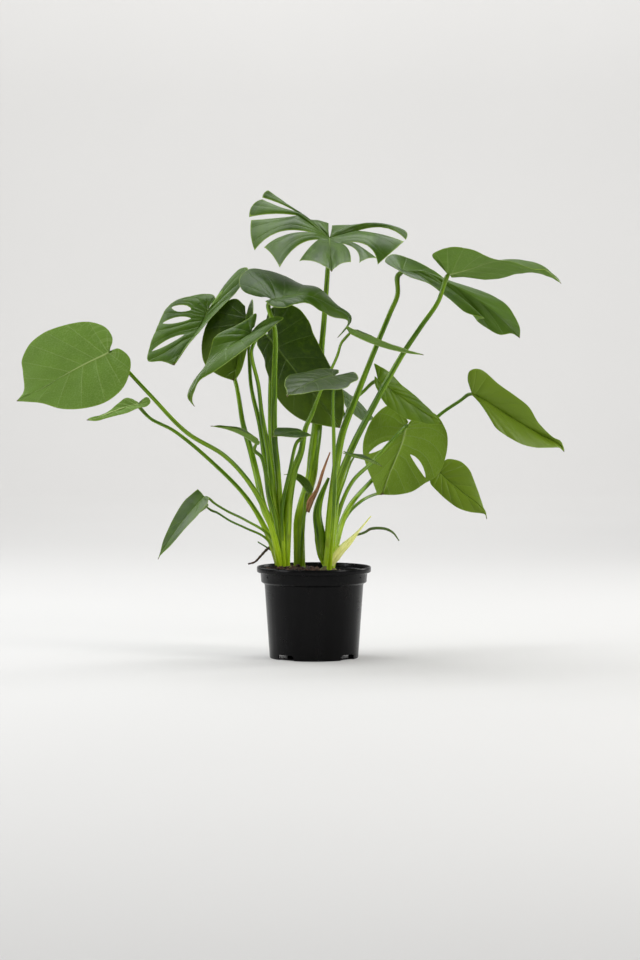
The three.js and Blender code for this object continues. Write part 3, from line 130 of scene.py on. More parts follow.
# One row for each leaf, as in the source of the solids. A drawn blade hangs from the first point of its
# spine, and its spine and both its rims end at its tip. What holds for both halves is given once.
LEAVES = [
    dict(
        name="leaf_01", crown="middle", root=6, up=[0.05, -0.3, 0.95],
        spine=[[23, 30, 624], [24, -40, 603], [26, -110, 570]], camber=[4, 4, 4],
        cuts=[
            [[0.42, 0.4, 1], [0.62, 0.25, 1], [0.8, 0.25, 1]],
            [[0.18, 0.6, 1], [0.28, 0.5, 1], [0.44, 0.5, 1], [0.62, 0.25, 1], [0.8, 0.25, 1]],
        ],
        lobes=[
            [
                dict(low=[[25, 36, 630], [27, 55, 639], [27, 72, 645]],
                    high=[[63, 50, 635], [113, 62, 652], [137, 35, 622]], margin=[158, 66, 650]),
                dict(low=[[63, 50, 635], [99, 45, 634], [134, 25, 619]],
                    high=[[44, 12, 617], [91, 0, 622], [94, -15, 583]], margin=[114, 5, 601]),
                dict(low=[[44, 12, 617], [71, -25, 610], [92, -50, 591]],
                    high=[[41, 5, 615], [71, -35, 608], [66, -75, 584]], margin=[78, -64, 593]),
                dict(low=[[41, 5, 615], [55, -35, 607], [54, -88, 585]], margin=[39, -97, 586]),
            ],
            [
                dict(low=[[22, 36, 630], [21, 55, 639], [22, 75, 648]],
                    high=[[-3, 58, 647], [-5, 66, 650], [-7, 75, 653]], margin=[6, 76, 653]),
                dict(low=[[-3, 58, 647], [-36, 72, 674], [-69, 85, 698]],
                    high=[[-16, 56, 657], [-45, 66, 678], [-78, 78, 687]], margin=[-77, 83, 696]),
                dict(low=[[-16, 56, 657], [-42, 60, 667], [-78, 68, 684]],
                    high=[[-24, 48, 658], [-58, 48, 665], [-97, 48, 656]], margin=[-98, 62, 678]),
                dict(low=[[-24, 48, 658], [-48, 42, 654], [-94, 42, 651]],
                    high=[[-1, 18, 631], [-59, 14, 647], [-88, 5, 605]], margin=[-97, 25, 627]),
                dict(low=[[-1, 18, 631], [-50, 8, 634], [-74, 0, 609]],
                    high=[[7, 8, 621], [-28, -12, 621], [-50, -45, 578]], margin=[-62, -20, 602]),
                dict(low=[[7, 8, 621], [-7, -30, 610], [-21, -82, 586]], margin=[3, -95, 590]),
            ],
        ],
        stalk=[[-22, 26, 166], [-22, 26, 200], [-17, 27, 224], [-10, 28, 247], [-4, 30, 270], [-1, 32, 300],
            [4, 38, 338], [7, 48, 382], [11, 58, 457], [15, 54, 502], [20, 40, 572]],
        radius=[8, 8, 8.5, 4.4, 3.2],
    ),
    dict(
        name="leaf_02", crown="left", up=[0.1, -0.45, 0.88],
        spine=[[-59, -60, 530], [-35, -60, 536], [-6, -54, 536], [25, -44, 522], [53, -30, 500],
            [35, -36, 475]],
        rims=[
            [[-76, -40, 535], [-103, -22, 543], [-111, 0, 561], [-98, 16, 576], [-73, 24, 576],
                [-46, 24, 569], [-19, 16, 555], [8, 4, 548], [33, -12, 525], [55, -24, 504]],
            [[-71, -68, 528], [-59, -78, 520], [-43, -84, 518], [-26, -85, 524], [-10, -82, 525],
                [9, -72, 514], [29, -58, 505], [49, -42, 499]],
        ],
        camber=[6, 8, 2],
        stalk=[[-46, -15, 168], [-51, -25, 245], [-54, -35, 286], [-58, -45, 329], [-58, -58, 413],
            [-57, -62, 486]], radius=[7, 6, 4.8, 4.6, 3],
    ),
    dict(
        name="leaf_03", crown="left", attach=[53, -70, 482], tip=[159, -110, 450], up=[0.36, -0.05, 0.93],
        outline="narrow", half=28, back=5, fold=[22, 24], curl=-10, arch=-0.05,
        stalk=[[-40, -15, 191], [-37, -22, 236], [-29, -30, 280], [-19, -36, 307], [-12, -42, 343],
            [-3, -45, 363], [10, -52, 397], [34, -64, 448], [40, -66, 467]], radius=[8, 7.5, 6, 2.6, 1.8],
    ),
    dict(
        name="leaf_04", crown="left", up=[-0.35, -0.7, 0.6],
        spine=[[-162, 120, 517], [-171, 112, 497], [-188, 96, 470], [-211, 74, 434]],
        rims=[
            [[-144, 119, 534], [-139, 124, 547], [-129, 134, 563], [-116, 140, 580], [-102, 132, 583],
                [-102, 122, 569], [-117, 110, 547], [-141, 98, 521], [-165, 88, 494], [-193, 78, 461]],
            [[-150, 126, 534], [-154, 132, 541], [-169, 138, 543], [-193, 145, 539], [-215, 149, 531],
                [-230, 144, 516], [-241, 127, 488], [-250, 111, 462], [-252, 96, 441], [-230, 86, 440]],
        ],
        camber=[[4, 6, 2], [6, 10, 4]],
        cuts=[[], [[0.46, 0.36, 0.88, 14], [0.57, 0.27, 0.9, 12], [0.74, 0.25, 0.92, 12]]],
        stalk=[[-57, 8, 182], [-75, 15, 222], [-84, 28, 263], [-95, 50, 306], [-107, 80, 344],
            [-119, 110, 407], [-140, 122, 470]], radius=[7, 6, 5, 3.2, 2.6],
    ),
    dict(
        name="leaf_05", crown="left", attach=[-103, 100, 509], tip=[-121, 70, 411], up=[-0.1, -0.9, 0.3],
        outline="blunt", half=[26, 60], back=25, fold=[50, 5], curl=[10, -15],
        stalk=[[-52, 5, 182], [-66, 20, 238], [-72, 38, 284], [-81, 60, 342], [-95, 88, 401],
            [-99, 108, 457]], radius=[7, 7, 5, 3, 2.6],
    ),
    dict(
        name="leaf_06", crown="left", up=[-0.6, -0.5, 0.62],
        spine=[[-91, -62, 482], [-111, -68, 470], [-130, -74, 459], [-150, -81, 440], [-167, -88, 418],
            [-178, -94, 398], [-179, -97, 386], [-173, -100, 375]],
        rims=[
            [[-83, -63, 489], [-74, -66, 498], [-61, -69, 505], [-44, -72, 504], [-56, -78, 494],
                [-75, -84, 477], [-97, -91, 460], [-119, -98, 443], [-142, -99, 427], [-164, -99, 414],
                [-173, -100, 398], [-176, -100, 385]],
            [[-87, -60, 491], [-84, -57, 510], [-96, -54, 503], [-114, -53, 493], [-134, -55, 484],
                [-146, -59, 474], [-150, -62, 460], [-155, -66, 443], [-166, -72, 423], [-176, -79, 408],
                [-182, -86, 396], [-182, -93, 386]],
        ],
        camber=[[4, 5, 1], [4, 4, 1]],
        stalk=[[-49, -15, 183], [-59, -28, 236], [-62, -38, 266], [-67, -48, 309], [-76, -62, 362],
            [-81, -72, 406], [-91, -78, 454]], radius=[7, 7, 5, 3, 2.6],
    ),
    dict(
        name="leaf_07", crown="left", attach=[-69, 40, 478], tip=[39, 20, 341], up=[-0.1, -0.95, 0.3],
        outline=["early", "late"], half=[63, 47], back=[30, 16], fold=[10, -8], curl=-10,
        stalk=[[-43, 0, 182], [-55, 20, 248], [-62, 35, 293], [-65, 45, 327], [-66, 60, 382], [-66, 75, 457]],
        radius=[7, 6, 4.2, 3.4, 2.6],
    ),
    dict(
        name="leaf_08", crown="right", attach=[28, -150, 420], tip=[-38, -210, 391], up=[-0.1, -0.3, 0.95],
        outline="heart", half=[55, 50], back=25, fold=[5, 8], curl=-15, arch=0.05,
        stalk=[[30, -60, 237], [29, -115, 327], [28, -146, 393]],
    ),
    dict(
        name="leaf_09", crown="right", up=[0.3, -0.4, 0.85],
        spine=[[132, 42, 574], [161, 36, 576], [197, 34, 560], [236, 36, 539], [274, 38, 510],
            [308, 40, 475]],
        rims=[
            [[125, 56, 580], [107, 72, 590], [118, 90, 601], [148, 98, 595], [179, 100, 579],
                [209, 96, 557], [239, 90, 552], [273, 80, 537], [295, 68, 519], [308, 50, 493]],
            [[119, 32, 581], [140, 12, 566], [169, 0, 556], [196, -4, 536], [224, 0, 513], [253, 8, 505],
                [243, 30, 501], [260, 36, 489], [278, 38, 480], [296, 40, 482]],
        ],
        camber=[[0, -4, 0], [6, 12, 2]],
        stalk=[[25, 5, 204], [31, 12, 264], [37, 20, 308], [44, 24, 338], [63, 30, 387], [94, 36, 465],
            [114, 40, 513], [125, 42, 540]], radius=[8, 7, 5.6, 4, 3.4],
    ),
    dict(
        name="leaf_10", crown="right", up=[0, 0.65, 0.76],
        spine=[[196, -60, 567], [228, -62, 576], [262, -60, 587], [301, -58, 589], [335, -56, 577],
            [362, -55, 554]],
        rims=[
            [[202, -52, 563], [222, -36, 564], [254, -20, 561], [278, -15, 563], [300, -18, 569],
                [326, -28, 571], [345, -42, 564]],
            [[187, -70, 577], [172, -80, 594], [184, -95, 602], [204, -105, 605], [231, -108, 601],
                [259, -104, 589], [288, -98, 584], [317, -90, 574], [339, -75, 572]],
        ],
        camber=[[3, 4, 2], [3, 6, 6]],
        stalk=[[28, -12, 205], [37, -24, 261], [56, -35, 313], [81, -47, 363], [103, -53, 404],
            [131, -60, 453], [157, -63, 492], [181, -65, 527]], radius=[8, 7, 5, 4, 3],
    ),
    dict(
        name="leaf_11", crown="right", up=[0.2, -0.9, 0.35],
        spine=[[242, 142, 390], [264, 146, 379], [300, 152, 356], [343, 160, 330], [375, 165, 313],
            [386, 168, 300]],
        rims=[
            [[240, 141, 395], [236, 138, 410], [237, 136, 424], [248, 135, 429], [262, 138, 424],
                [282, 141, 406], [309, 144, 387], [330, 148, 370], [345, 153, 346], [366, 158, 325],
                [380, 163, 317]],
            [[242, 141, 389], [251, 137, 380], [260, 133, 369], [268, 130, 355], [278, 130, 338],
                [296, 131, 325], [317, 132, 314], [339, 141, 308], [361, 150, 307], [377, 159, 307]],
        ],
        camber=[[3, 5, 2], [2, 5, 2]],
        stalk=[[47, 56, 209], [87, 124, 257], [147, 144, 312], [193, 151, 358], [226, 149, 381]],
        radius=[6, 5, 3.4, 2.9, 2.4],
    ),
    dict(
        name="leaf_12", crown="right", up=[0.1, 0.95, 0.25], bow=[0.1, 0.28],
        spine=[[140, 100, 341], [134, 103, 317], [125, 105, 294], [114, 109, 267], [104, 112, 237]],
        rims=[
            [[143, 99, 348], [130, 96, 368], [112, 95, 373], [91, 95, 356], [77, 96, 328], [74, 98, 304],
                [79, 99, 283], [87, 102, 263], [94, 106, 244], [96, 109, 237]],
            [[147, 99, 350], [164, 96, 365], [184, 95, 360], [198, 95, 341], [203, 96, 321], [199, 98, 292],
                [188, 99, 268], [169, 102, 255], [149, 106, 242], [126, 109, 237]],
        ],
        camber=[4, 7, 3], cuts=[[[0.54, 0.28, 0.88, 9]], [[0.685, 0.32, 0.92, 8]]],
        stalk=[[36, 10, 212], [57, 25, 260], [87, 45, 289], [118, 62, 322], [134, 72, 338]],
    ),
    dict(
        name="leaf_13", crown="right", up=[0.2, -0.8, 0.5],
        spine=[[96, 42, 411], [111, 46, 401], [129, 52, 388], [160, 61, 367], [192, 70, 346]],
        rims=[
            [[96, 43, 413], [96, 45, 423], [90, 46, 437], [102, 47, 431], [116, 51, 421], [131, 55, 406],
                [147, 59, 393], [161, 62, 380], [176, 65, 367], [185, 67, 356]],
            [[94, 41, 412], [91, 40, 418], [91, 38, 407], [96, 38, 395], [103, 42, 382], [111, 45, 372],
                [125, 48, 362], [139, 54, 354], [157, 59, 349], [175, 65, 345]],
        ],
        camber=[2, 3, 1],
        stalk=[[30, 15, 234], [42, 30, 323], [54, 42, 375], [75, 52, 396]],
    ),
    dict(
        name="leaf_14", crown="right", up=[0.2, -0.9, 0.35],
        spine=[[193, 141, 269], [207, 138, 256], [228, 132, 239], [249, 127, 222], [261, 124, 209],
            [264, 122, 199]],
        rims=[
            [[192, 142, 273], [196, 144, 283], [206, 144, 290], [224, 143, 287], [238, 140, 274],
                [246, 138, 256], [252, 134, 239], [257, 130, 223], [262, 126, 211]],
            [[189, 141, 267], [179, 139, 260], [179, 137, 252], [190, 134, 240], [203, 130, 228],
                [220, 125, 216], [238, 123, 210], [255, 123, 208], [262, 122, 206]],
        ],
        camber=[3, 4, 2],
        stalk=[[44, 50, 199], [70, 92, 227], [108, 148, 240], [154, 152, 249], [180, 150, 260]],
        radius=[5, 4, 2.6, 2.3, 2],
    ),
    dict(
        name="leaf_15", crown="left", up=[-0.1, -0.95, 0.3],
        spine=[[-296, -118, 453], [-326, -114, 439], [-349, -111, 427], [-370, -108, 415],
            [-394, -105, 401], [-431, -100, 383]],
        rims=[
            [[-294, -116, 455], [-291, -109, 475], [-305, -105, 492], [-332, -104, 498], [-362, -100, 493],
                [-390, -97, 483], [-411, -94, 467], [-423, -96, 444], [-422, -97, 425], [-421, -98, 399]],
            [[-293, -120, 453], [-281, -124, 459], [-265, -127, 446], [-265, -127, 425], [-276, -126, 401],
                [-300, -124, 382], [-331, -122, 373], [-364, -116, 372], [-393, -111, 380],
                [-415, -106, 382]],
        ],
        camber=[5, 8, 3],
        stalk=[[-68, -40, 211], [-94, -60, 262], [-130, -80, 303], [-185, -100, 338], [-237, -105, 392],
            [-273, -105, 431]], radius=[6, 4.6, 3.4, 3, 2.6],
    ),
    dict(
        name="leaf_16", crown="left", up=[-0.25, -0.55, 0.8],
        spine=[[-265, 60, 375], [-284, 58, 371], [-307, 56, 363], [-326, 54, 355], [-342, 52, 352]],
        rims=[
            [[-264, 61, 378], [-271, 64, 383], [-278, 65, 385], [-286, 64, 384], [-297, 63, 376],
                [-310, 62, 365], [-324, 59, 358], [-337, 55, 356]],
            [[-262, 59, 376], [-256, 57, 385], [-249, 55, 386], [-246, 53, 379], [-252, 51, 373],
                [-264, 49, 370], [-281, 49, 363], [-306, 50, 357], [-326, 51, 351]],
        ],
        camber=[2, 2, 1],
        stalk=[[-72, 15, 189], [-103, 30, 239], [-155, 45, 291], [-211, 58, 336], [-246, 64, 354]],
    ),
    dict(
        name="leaf_17", crown="left", attach=[-161, -60, 242], tip=[-230, -40, 149], up=[-0.7, -0.55, 0.5],
        outline="narrow", half=[27, 21], back=[6, 1], fold=[4, 15], curl=10, arch=0.04,
        stalk=[[-65, -25, 181], [-101, -40, 207], [-128, -50, 221], [-148, -54, 234]],
        radius=[4, 2.5, 2, 1.8, 1.6],
    ),
    dict(
        name="leaf_18", crown="left", attach=[-161, 40, 222], tip=[-225, 40, 165], up=[-0.65, -0.1, 0.76],
        outline="narrow", half=18, back=4, fold=10, arch=0.03,
        stalk=[[-69, 10, 174], [-103, 20, 192], [-126, 30, 202], [-146, 38, 214]],
        radius=[4, 2.2, 1.8, 1.6, 1.5],
    ),
    dict(
        name="leaf_19", crown="left", attach=[-84, -80, 320], tip=[-150, -110, 347], up=[-0.2, -0.3, 0.9],
        outline="narrow", half=[9, 11], back=3, fold=30, curl=40, arch=0.07,
        stalk=[[-56, -25, 206], [-65, -40, 241], [-70, -52, 272], [-77, -66, 301]],
        radius=[5, 4, 3.6, 3, 2.4],
    ),
    dict(
        name="leaf_20", crown="left", attach=[-17, -60, 337], tip=[-60, -110, 331], up=[-0.1, -0.55, 0.85],
        outline="heart", half=[22, 24], back=8, fold=5, curl=-15, arch=0.05,
        stalk=[[-47, -30, 221], [-35, -50, 281], [-25, -60, 322]],
    ),
    dict(
        name="leaf_21", crown="right", attach=[59, -62, 301], tip=[100, -66, 287], up=[0.3, -0.1, 0.9],
        outline="narrow", half=16, back=18, fold=18, curl=-10, arch=0.03,
        stalk=[[33, -28, 225], [46, -52, 268]], radius=[4, 2, 1.6, 1.5, 1.4],
    ),
    dict(
        name="leaf_22", crown="middle", attach=[-7, -14, 247], tip=[-45, 2, 272], up=[-0.1, -0.5, 0.7],
        outline="narrow", half=9, back=2, fold=20, curl=20, arch=0.25,
        stalk=[[-15, 4, 205]], radius=[4, 3, 3, 2.5, 2],
    ),
    dict(
        name="leaf_23", crown="right", attach=[49, 200, 383], tip=[95, 230, 348], up=[0.2, -0.5, 0.8],
        outline="heart", half=30, back=10, curl=-10,
        stalk=[[22, 20, 165], [32, 100, 230], [41, 160, 304], [47, 195, 355]], radius=[4, 3, 2.2, 2, 1.8],
    ),
]

# The blades given a darker copy of the common green for painted shade, and a lighter young green that is
# partly painted light
BLADE_SLOTS = dict(leaf_05="leaf_dark", leaf_07="leaf_dark", leaf_08="leaf_dark", leaf_12="leaf_light",
                   leaf_13="leaf_light")

# Painted light and shade of each blade: how light it is at its stalk, how much lighter at its tip, and on its
# left half
PAINTED_LIGHT_TONES = dict(
    leaf_01=(0.05, 0, 0),
    leaf_02=(-0.05, 0.15, 0),
    leaf_04=(0.05, 0.1, 0),
    leaf_05=(-0.25, 0.6, 0),
    leaf_06=(0.05, 0.75, 0),
    leaf_07=(-0.3, 0.5, -0.3),
    leaf_08=(-0.45, 0.1, 0),
    leaf_10=(0.35, 0.2, 0),
    leaf_11=(1.1, 0.3, 0),
    leaf_12=(0, 0.35, 0),
    leaf_14=(1.15, 0.2, 0),
    leaf_15=(-0.06, -0.1, 0.1),
)

# Small growths of the left crown, and the loose pieces that lie against the stalks
BARE_STEM = dict(path=[[-46, 4, 112], [-52, 12, 160], [-57, 18, 200]], radius=[6, 6, 5.5, 5.2, 5])
THIN_SHOOT = dict(path=[[-46, 4, 140], [-62, 14, 157], [-84, 20, 171]], radius=[2.2, 1.6, 1.4, 1.2, 1])
BROAD_SHEATH = dict(
    path=[[27, 4, 114], [20, 3, 133], [12, 2, 151], [9, 4, 182], [5, 8, 213], [9, 10, 235], [22, 12, 267]],
    radius=[4, 4.5, 8.5, 6, 2])
AERIAL_ROOT = dict(
    path=[[-52, 14, 170], [-69, 12, 161], [-79, 8, 151], [-88, 4, 142], [-98, 2, 139]],
    radius=[2.4, 2.2, 2, 1.7, 1.2])
YELLOW_SHEATH = dict(
    path=[[25, -10, 138], [30, -9, 147], [40, -6, 160], [56, 0, 176], [85, 8, 210]],
    radius=[4.5, 7, 6, 1.8, 0.9])
DRY_STRIP = dict(
    path=[[58, 5, 180], [76, 8, 186], [85, 10, 191], [106, 11, 191], [118, 12, 185], [127, 12, 173]],
    radius=[1.2, 1.8, 2.2, 2, 0.8])
BROWN_SHEATH = dict(
    path=[[-11, 19, 216], [-5.5, 18.5, 231], [5, 18, 250], [13, 17, 275], [19, 15, 292], [24, 13, 305]],
    radius=[4.5, 5, 2.6, 2.2, 1])

# Backdrop, camera and lights; places and sizes of lights are in metres
FLOOR_REACH = 4900
SWEEP = 1400
WALL_HEIGHT = 5000
BACKDROP_SIDES = 96
CAMERA_AT = (0.009, -4.306, 0.450)
CAMERA_TILT = 2.47
FOCAL_PIXELS = 2900
IMAGE_HEIGHT = 960
SENSOR_HEIGHT = 36
SKY_STRENGTH = 0.08
COOL = (0.97, 0.985, 1)
WARM = (1, 0.985, 0.95)

# Colours of blades: how a painted sheen shifts the upper green, upper face, under face, margin and tip
PAINTED_SHEEN_SHIFT = (2.6, 1.9, 8)
TOP_NET = (0.12, 0.21, 0.015)
TOP_RIB = (0.20, 0.31, 0.05)
UNDER_NET = (0.40, 0.52, 0.16)
UNDER_RIB = (0.42, 0.52, 0.18)
UNDER_VEIN = (0.36, 0.47, 0.14)
MARGIN_GREEN = (0.26, 0.38, 0.04)
TIP_BROWN = (0.09, 0.045, 0.018)

# Colours of stalks, and of their paler foot
STALK_DARK = (0.032, 0.088, 0.0006)
STALK_LIGHT = (0.100, 0.205, 0.003)
STALK_BAND = (0.190, 0.330, 0.008)
FOOT_DARK = (0.20, 0.37, 0.004)
FOOT_LIGHT = (0.40, 0.58, 0.012)
FOOT_BAND = (0.50, 0.68, 0.03)
FLECK_GREEN = (0.30, 0.43, 0.06)
WING_GREEN = (0.40, 0.54, 0.09)
SCAR_BROWN = (0.11, 0.055, 0.02)
KNEE_GREEN = (0.075, 0.12, 0.018)


def add_camera():
    view = bpy.data.cameras.new("Front view")
    view.sensor_fit = "VERTICAL"
    view.sensor_height = SENSOR_HEIGHT
    view.lens = SENSOR_HEIGHT * FOCAL_PIXELS / IMAGE_HEIGHT
    view.clip_end = 60
    camera = bpy.data.objects.new("Front view", view)
    camera.location = CAMERA_AT
    camera.rotation_euler = (math.radians(90 - CAMERA_TILT), 0, 0)
    bpy.context.scene.collection.objects.link(camera)
    bpy.context.scene.camera = camera


def add_softbox(name, at, towards, size, power, colour=(1, 1, 1), mirrored=True, spread=180):
    """A soft light; one that isn't mirrored leaves no reflection on glossy faces."""
    light = bpy.data.lights.new(name, "AREA")
    light.shape = "RECTANGLE"
    light.size, light.size_y = size
    light.energy = power
    light.color = colour
    light.spread = math.radians(spread)
    lamp = bpy.data.objects.new(name, light)
    way = np.array(towards, float) - np.array(at, float)
    flat = math.hypot(way[0], way[1])
    lamp.location = at
    lamp.rotation_euler = (math.atan2(flat, -way[2]), 0, math.atan2(-way[0], way[1]))
    lamp.visible_glossy = mirrored
    lamp.visible_camera = False
    bpy.context.scene.collection.objects.link(lamp)


def add_lights():
    sky = bpy.data.worlds.new("Soft daylight")
    sky.use_nodes = True
    sky.node_tree.nodes["Background"].inputs["Color"].default_value = (*COOL, 1)
    sky.node_tree.nodes["Background"].inputs["Strength"].default_value = SKY_STRENGTH
    bpy.context.scene.world = sky
    bpy.context.scene.view_settings.view_transform = "Standard"
    add_softbox("Overhead window", (-0.2, 0.45, 2.3), (0, 0.05, 0.3), (2.2, 1.2), 47, COOL)
    add_softbox("Right window", (2.3, -1.3, 1.3), (0, 0, 0.4), (0.8, 1.2), 42, WARM)
    add_softbox("Right edge light", (1.9, 1.1, 1.0), (0, 0, 0.4), (0.5, 1.4), 16, (1, 0.99, 0.97))
    add_softbox("Front floor wash", (0, -2.0, 2.6), (0, -1.9, 0), (3.4, 1.4), 9, mirrored=False, spread=80)
    add_softbox("Left panel", (-2.2, -1.0, 0.85), (0, 0, 0.2), (1.1, 1.0), 26, COOL)
    add_softbox("Left back panel", (-1.9, 1.3, 1.7), (0, 0, 0.4), (1.5, 1.5), 28, COOL)
    add_softbox("Back floor wash", (0, 2.7, 2.8), (0, 2.9, 0), (3.6, 2.4), 22, mirrored=False, spread=90)
    add_softbox("Wall wash", (0, 4.3, 3.4), (0, 6.3, 0.8), (5, 0.8), 86, mirrored=False, spread=140)


class Value:
    """A shader socket that takes part in sums."""

    def __init__(self, finish, socket):
        self.finish = finish
        self.socket = socket

    def _sum(self, operation, other):
        return self.finish.add("ShaderNodeMath", {"operation": operation}, {0: self, 1: other})

    def __add__(self, other):
        return self._sum("ADD", other)

    def __sub__(self, other):
        return self._sum("SUBTRACT", other)

    def __mul__(self, other):
        return self._sum("MULTIPLY", other)


class Finish:
    """A material and the nodes that it is made of."""

    def __init__(self, name):
        self.material = bpy.data.materials.new(name)
        self.material.use_nodes = True
        self.tree = self.material.node_tree
        self.tree.nodes.clear()

    def add(self, kind, settings=None, inputs=None, output=0):
        node = self.tree.nodes.new(kind)
        for key, value in (settings or {}).items():
            setattr(node, key, value)
        for key, value in (inputs or {}).items():
            if isinstance(value, Value):
                self.tree.links.new(value.socket, node.inputs[key])
            elif isinstance(value, tuple) and len(value) < len(node.inputs[key].default_value):
                node.inputs[key].default_value = (*value, 1)
            else:
                node.inputs[key].default_value = value
        return Value(self, node.outputs[output])

    def attribute(self, name, vector=False):
        return self.add("ShaderNodeAttribute", {"attribute_name": name}, output=1 if vector else 2)

    def where(self):
        return self.add("ShaderNodeTexCoord", output=3)

    def stretched(self, where, *scale):
        return self.add("ShaderNodeMapping", None, {"Vector": where, "Scale": scale})

    def noise(self, where, scale, detail=3, roughness=0.55):
        settings = {"Vector": where, "Scale": scale, "Detail": detail, "Roughness": roughness}
        return self.add("ShaderNodeTexNoise", None, settings)

    def mix(self, amount, first, second):
        return self.add("ShaderNodeMix", {"data_type": "RGBA"}, {0: amount, 6: first, 7: second}, output=2)

    def fade(self, value, start, end, low=0.0, high=1.0):
        settings = {"Value": value, "From Min": start, "From Max": end, "To Min": low, "To Max": high}
        return self.add("ShaderNodeMapRange", {"interpolation_type": "SMOOTHSTEP"}, settings)

    def bump(self, height, distance, strength):
        settings = {"Height": height, "Distance": distance, "Strength": strength}
        return self.add("ShaderNodeBump", None, settings)

    def surface(self, **sockets):
        values = {key.replace("_", " "): value for key, value in sockets.items()}
        return self.add("ShaderNodeBsdfPrincipled", None, values)

    def finish(self, shader):
        out = self.tree.nodes.new("ShaderNodeOutputMaterial")
        self.tree.links.new(shader.socket, out.inputs["Surface"])
        return self.material


def scaled(colour, factor):
    return tuple(channel * factor for channel in colour)


def blade_finish(name, upper, shade, under, glow, clear):
    """Leaf blade: waxy upper face with pale veins, duller and paler under face, and light coming through; the
    upper face carries painted shade and painted light from the blade's tone, and a painted sheen where that
    is high.
    """
    f = Finish(name)
    flat = f.add("ShaderNodeUVMap", {"uv_map": "blade"})
    under_side = f.attribute("under")
    tone = f.attribute("tone")
    vein_line = f.fade(f.attribute("vein"), 1.5, 0.25)
    rib_line = f.fade(f.attribute("rib"), 1.3, 0.55)
    tip = f.fade(f.attribute("tip"), 5, 1.5)
    edge = f.fade(f.attribute("edge"), 1.7, 0.4)
    broad = f.noise(flat, 22)
    mottle = f.noise(flat, 120, 4, 0.6)
    net = f.add("ShaderNodeTexVoronoi", {"feature": "DISTANCE_TO_EDGE"}, {"Vector": flat, "Scale": 310})
    net_line = f.fade(net, 0.09, 0.0)
    veins = f.add("ShaderNodeMath", {"operation": "MAXIMUM"}, {0: vein_line * 0.62, 1: rib_line})

    # The colour of the painted sheen: the upper green made paler and greyer
    pale = tuple(channel * more for channel, more in zip(upper, PAINTED_SHEEN_SHIFT))
    # Random darker and lighter patches, pushed darker by painted shade and lighter by painted light from the
    # blade's tone
    top = f.mix(f.fade(broad + tone, 0.34, 0.72), shade, upper)
    top = f.mix(f.fade(mottle, 0.42, 0.75) * 0.35, top, scaled(upper, 1.35))
    # Painted sheen where the tone is high
    top = f.mix(f.fade(tone + broad * 0.3, 0.5, 1.2), top, pale)
    top = f.mix(net_line * 0.14, top, TOP_NET)
    top = f.mix(rib_line * 0.3 + vein_line * 0.12, top, TOP_RIB)
    low = f.mix(f.fade(broad, 0.3, 0.7) * 0.5, under, scaled(under, 0.72))
    low = f.mix(net_line * 0.22, low, UNDER_NET)
    low = f.mix(rib_line * 0.6, low, UNDER_RIB)
    low = f.mix(vein_line * 0.22, low, UNDER_VEIN)
    colour = f.mix(under_side, top, low)
    colour = f.mix(edge * 0.6, colour, MARGIN_GREEN)
    colour = f.mix(tip * 0.9, colour, TIP_BROWN)

    relief = (vein_line * 0.8 + rib_line * 1.4 + net_line * 0.12) * (under_side * 2 - 1)
    normal = f.bump(relief + mottle * 0.25 + f.noise(flat, 60, 2) * 1.4, 0.0005, 0.8)
    gloss = f.fade(broad, 0.2, 0.8, 0.30, 0.42) + under_side * 0.2 + mottle * 0.06
    body = f.surface(Base_Color=colour, Roughness=gloss, Normal=normal, Specular_IOR_Level=0.28)
    through = f.add("ShaderNodeBsdfTranslucent", None, {"Color": glow})
    share = f.fade(veins, 0.0, 1.0, clear, clear * 0.35)
    return f.finish(f.add("ShaderNodeMixShader", None, {0: share, 1: body, 2: through}))


def stalk_finish():
    """Leaf stalks: fresh green, yellower and paler near the crown, with long streaks and fine pale flecks."""
    f = Finish("Leaf stalk")
    grain = f.attribute("grain", vector=True)
    along = f.attribute("along")
    wing = f.attribute("wing")
    knee = f.attribute("knee")
    long_way = f.stretched(grain, 1, 1, 0.035)
    streak = f.noise(long_way, 900)
    fleck = f.noise(f.stretched(grain, 1, 1, 0.22), 1500, 2, 0.7)
    band = f.fade(f.noise(long_way, 300, 1), 0.4, 0.62)
    patch = f.noise(grain, 28, 2)
    wrinkle = f.noise(f.stretched(grain, 0.15, 0.15, 1), 900, 2)
    base = f.fade(along + patch * 0.2, 0.56, 0.12)

    colour = f.mix(f.fade(streak, 0.35, 0.7), STALK_DARK, STALK_LIGHT)
    colour = f.mix(band * 0.7, colour, STALK_BAND)
    pale = f.mix(f.fade(streak, 0.3, 0.7), FOOT_DARK, FOOT_LIGHT)
    pale = f.mix(band * 0.6, pale, FOOT_BAND)
    colour = f.mix(base, colour, pale)
    colour = f.mix(f.fade(fleck, 0.62, 0.74) * 0.4, colour, FLECK_GREEN)
    colour = f.mix(wing * 0.6, colour, WING_GREEN)
    colour = f.mix(f.fade(patch, 0.64, 0.78) * base * 0.5, colour, SCAR_BROWN)
    colour = f.mix(knee * 0.45, colour, KNEE_GREEN)

    normal = f.bump(streak * 0.6 + fleck * 0.3 + wrinkle * knee * 1.6, 0.0005, 0.8)
    gloss = f.fade(streak, 0.2, 0.8, 0.20, 0.34) + knee * 0.12
    return f.finish(f.surface(Base_Color=colour, Roughness=gloss, Normal=normal, Specular_IOR_Level=0.26,
                              Subsurface_Weight=0.12, Subsurface_Radius=(0.5, 1.0, 0.2),
                              Subsurface_Scale=0.002))


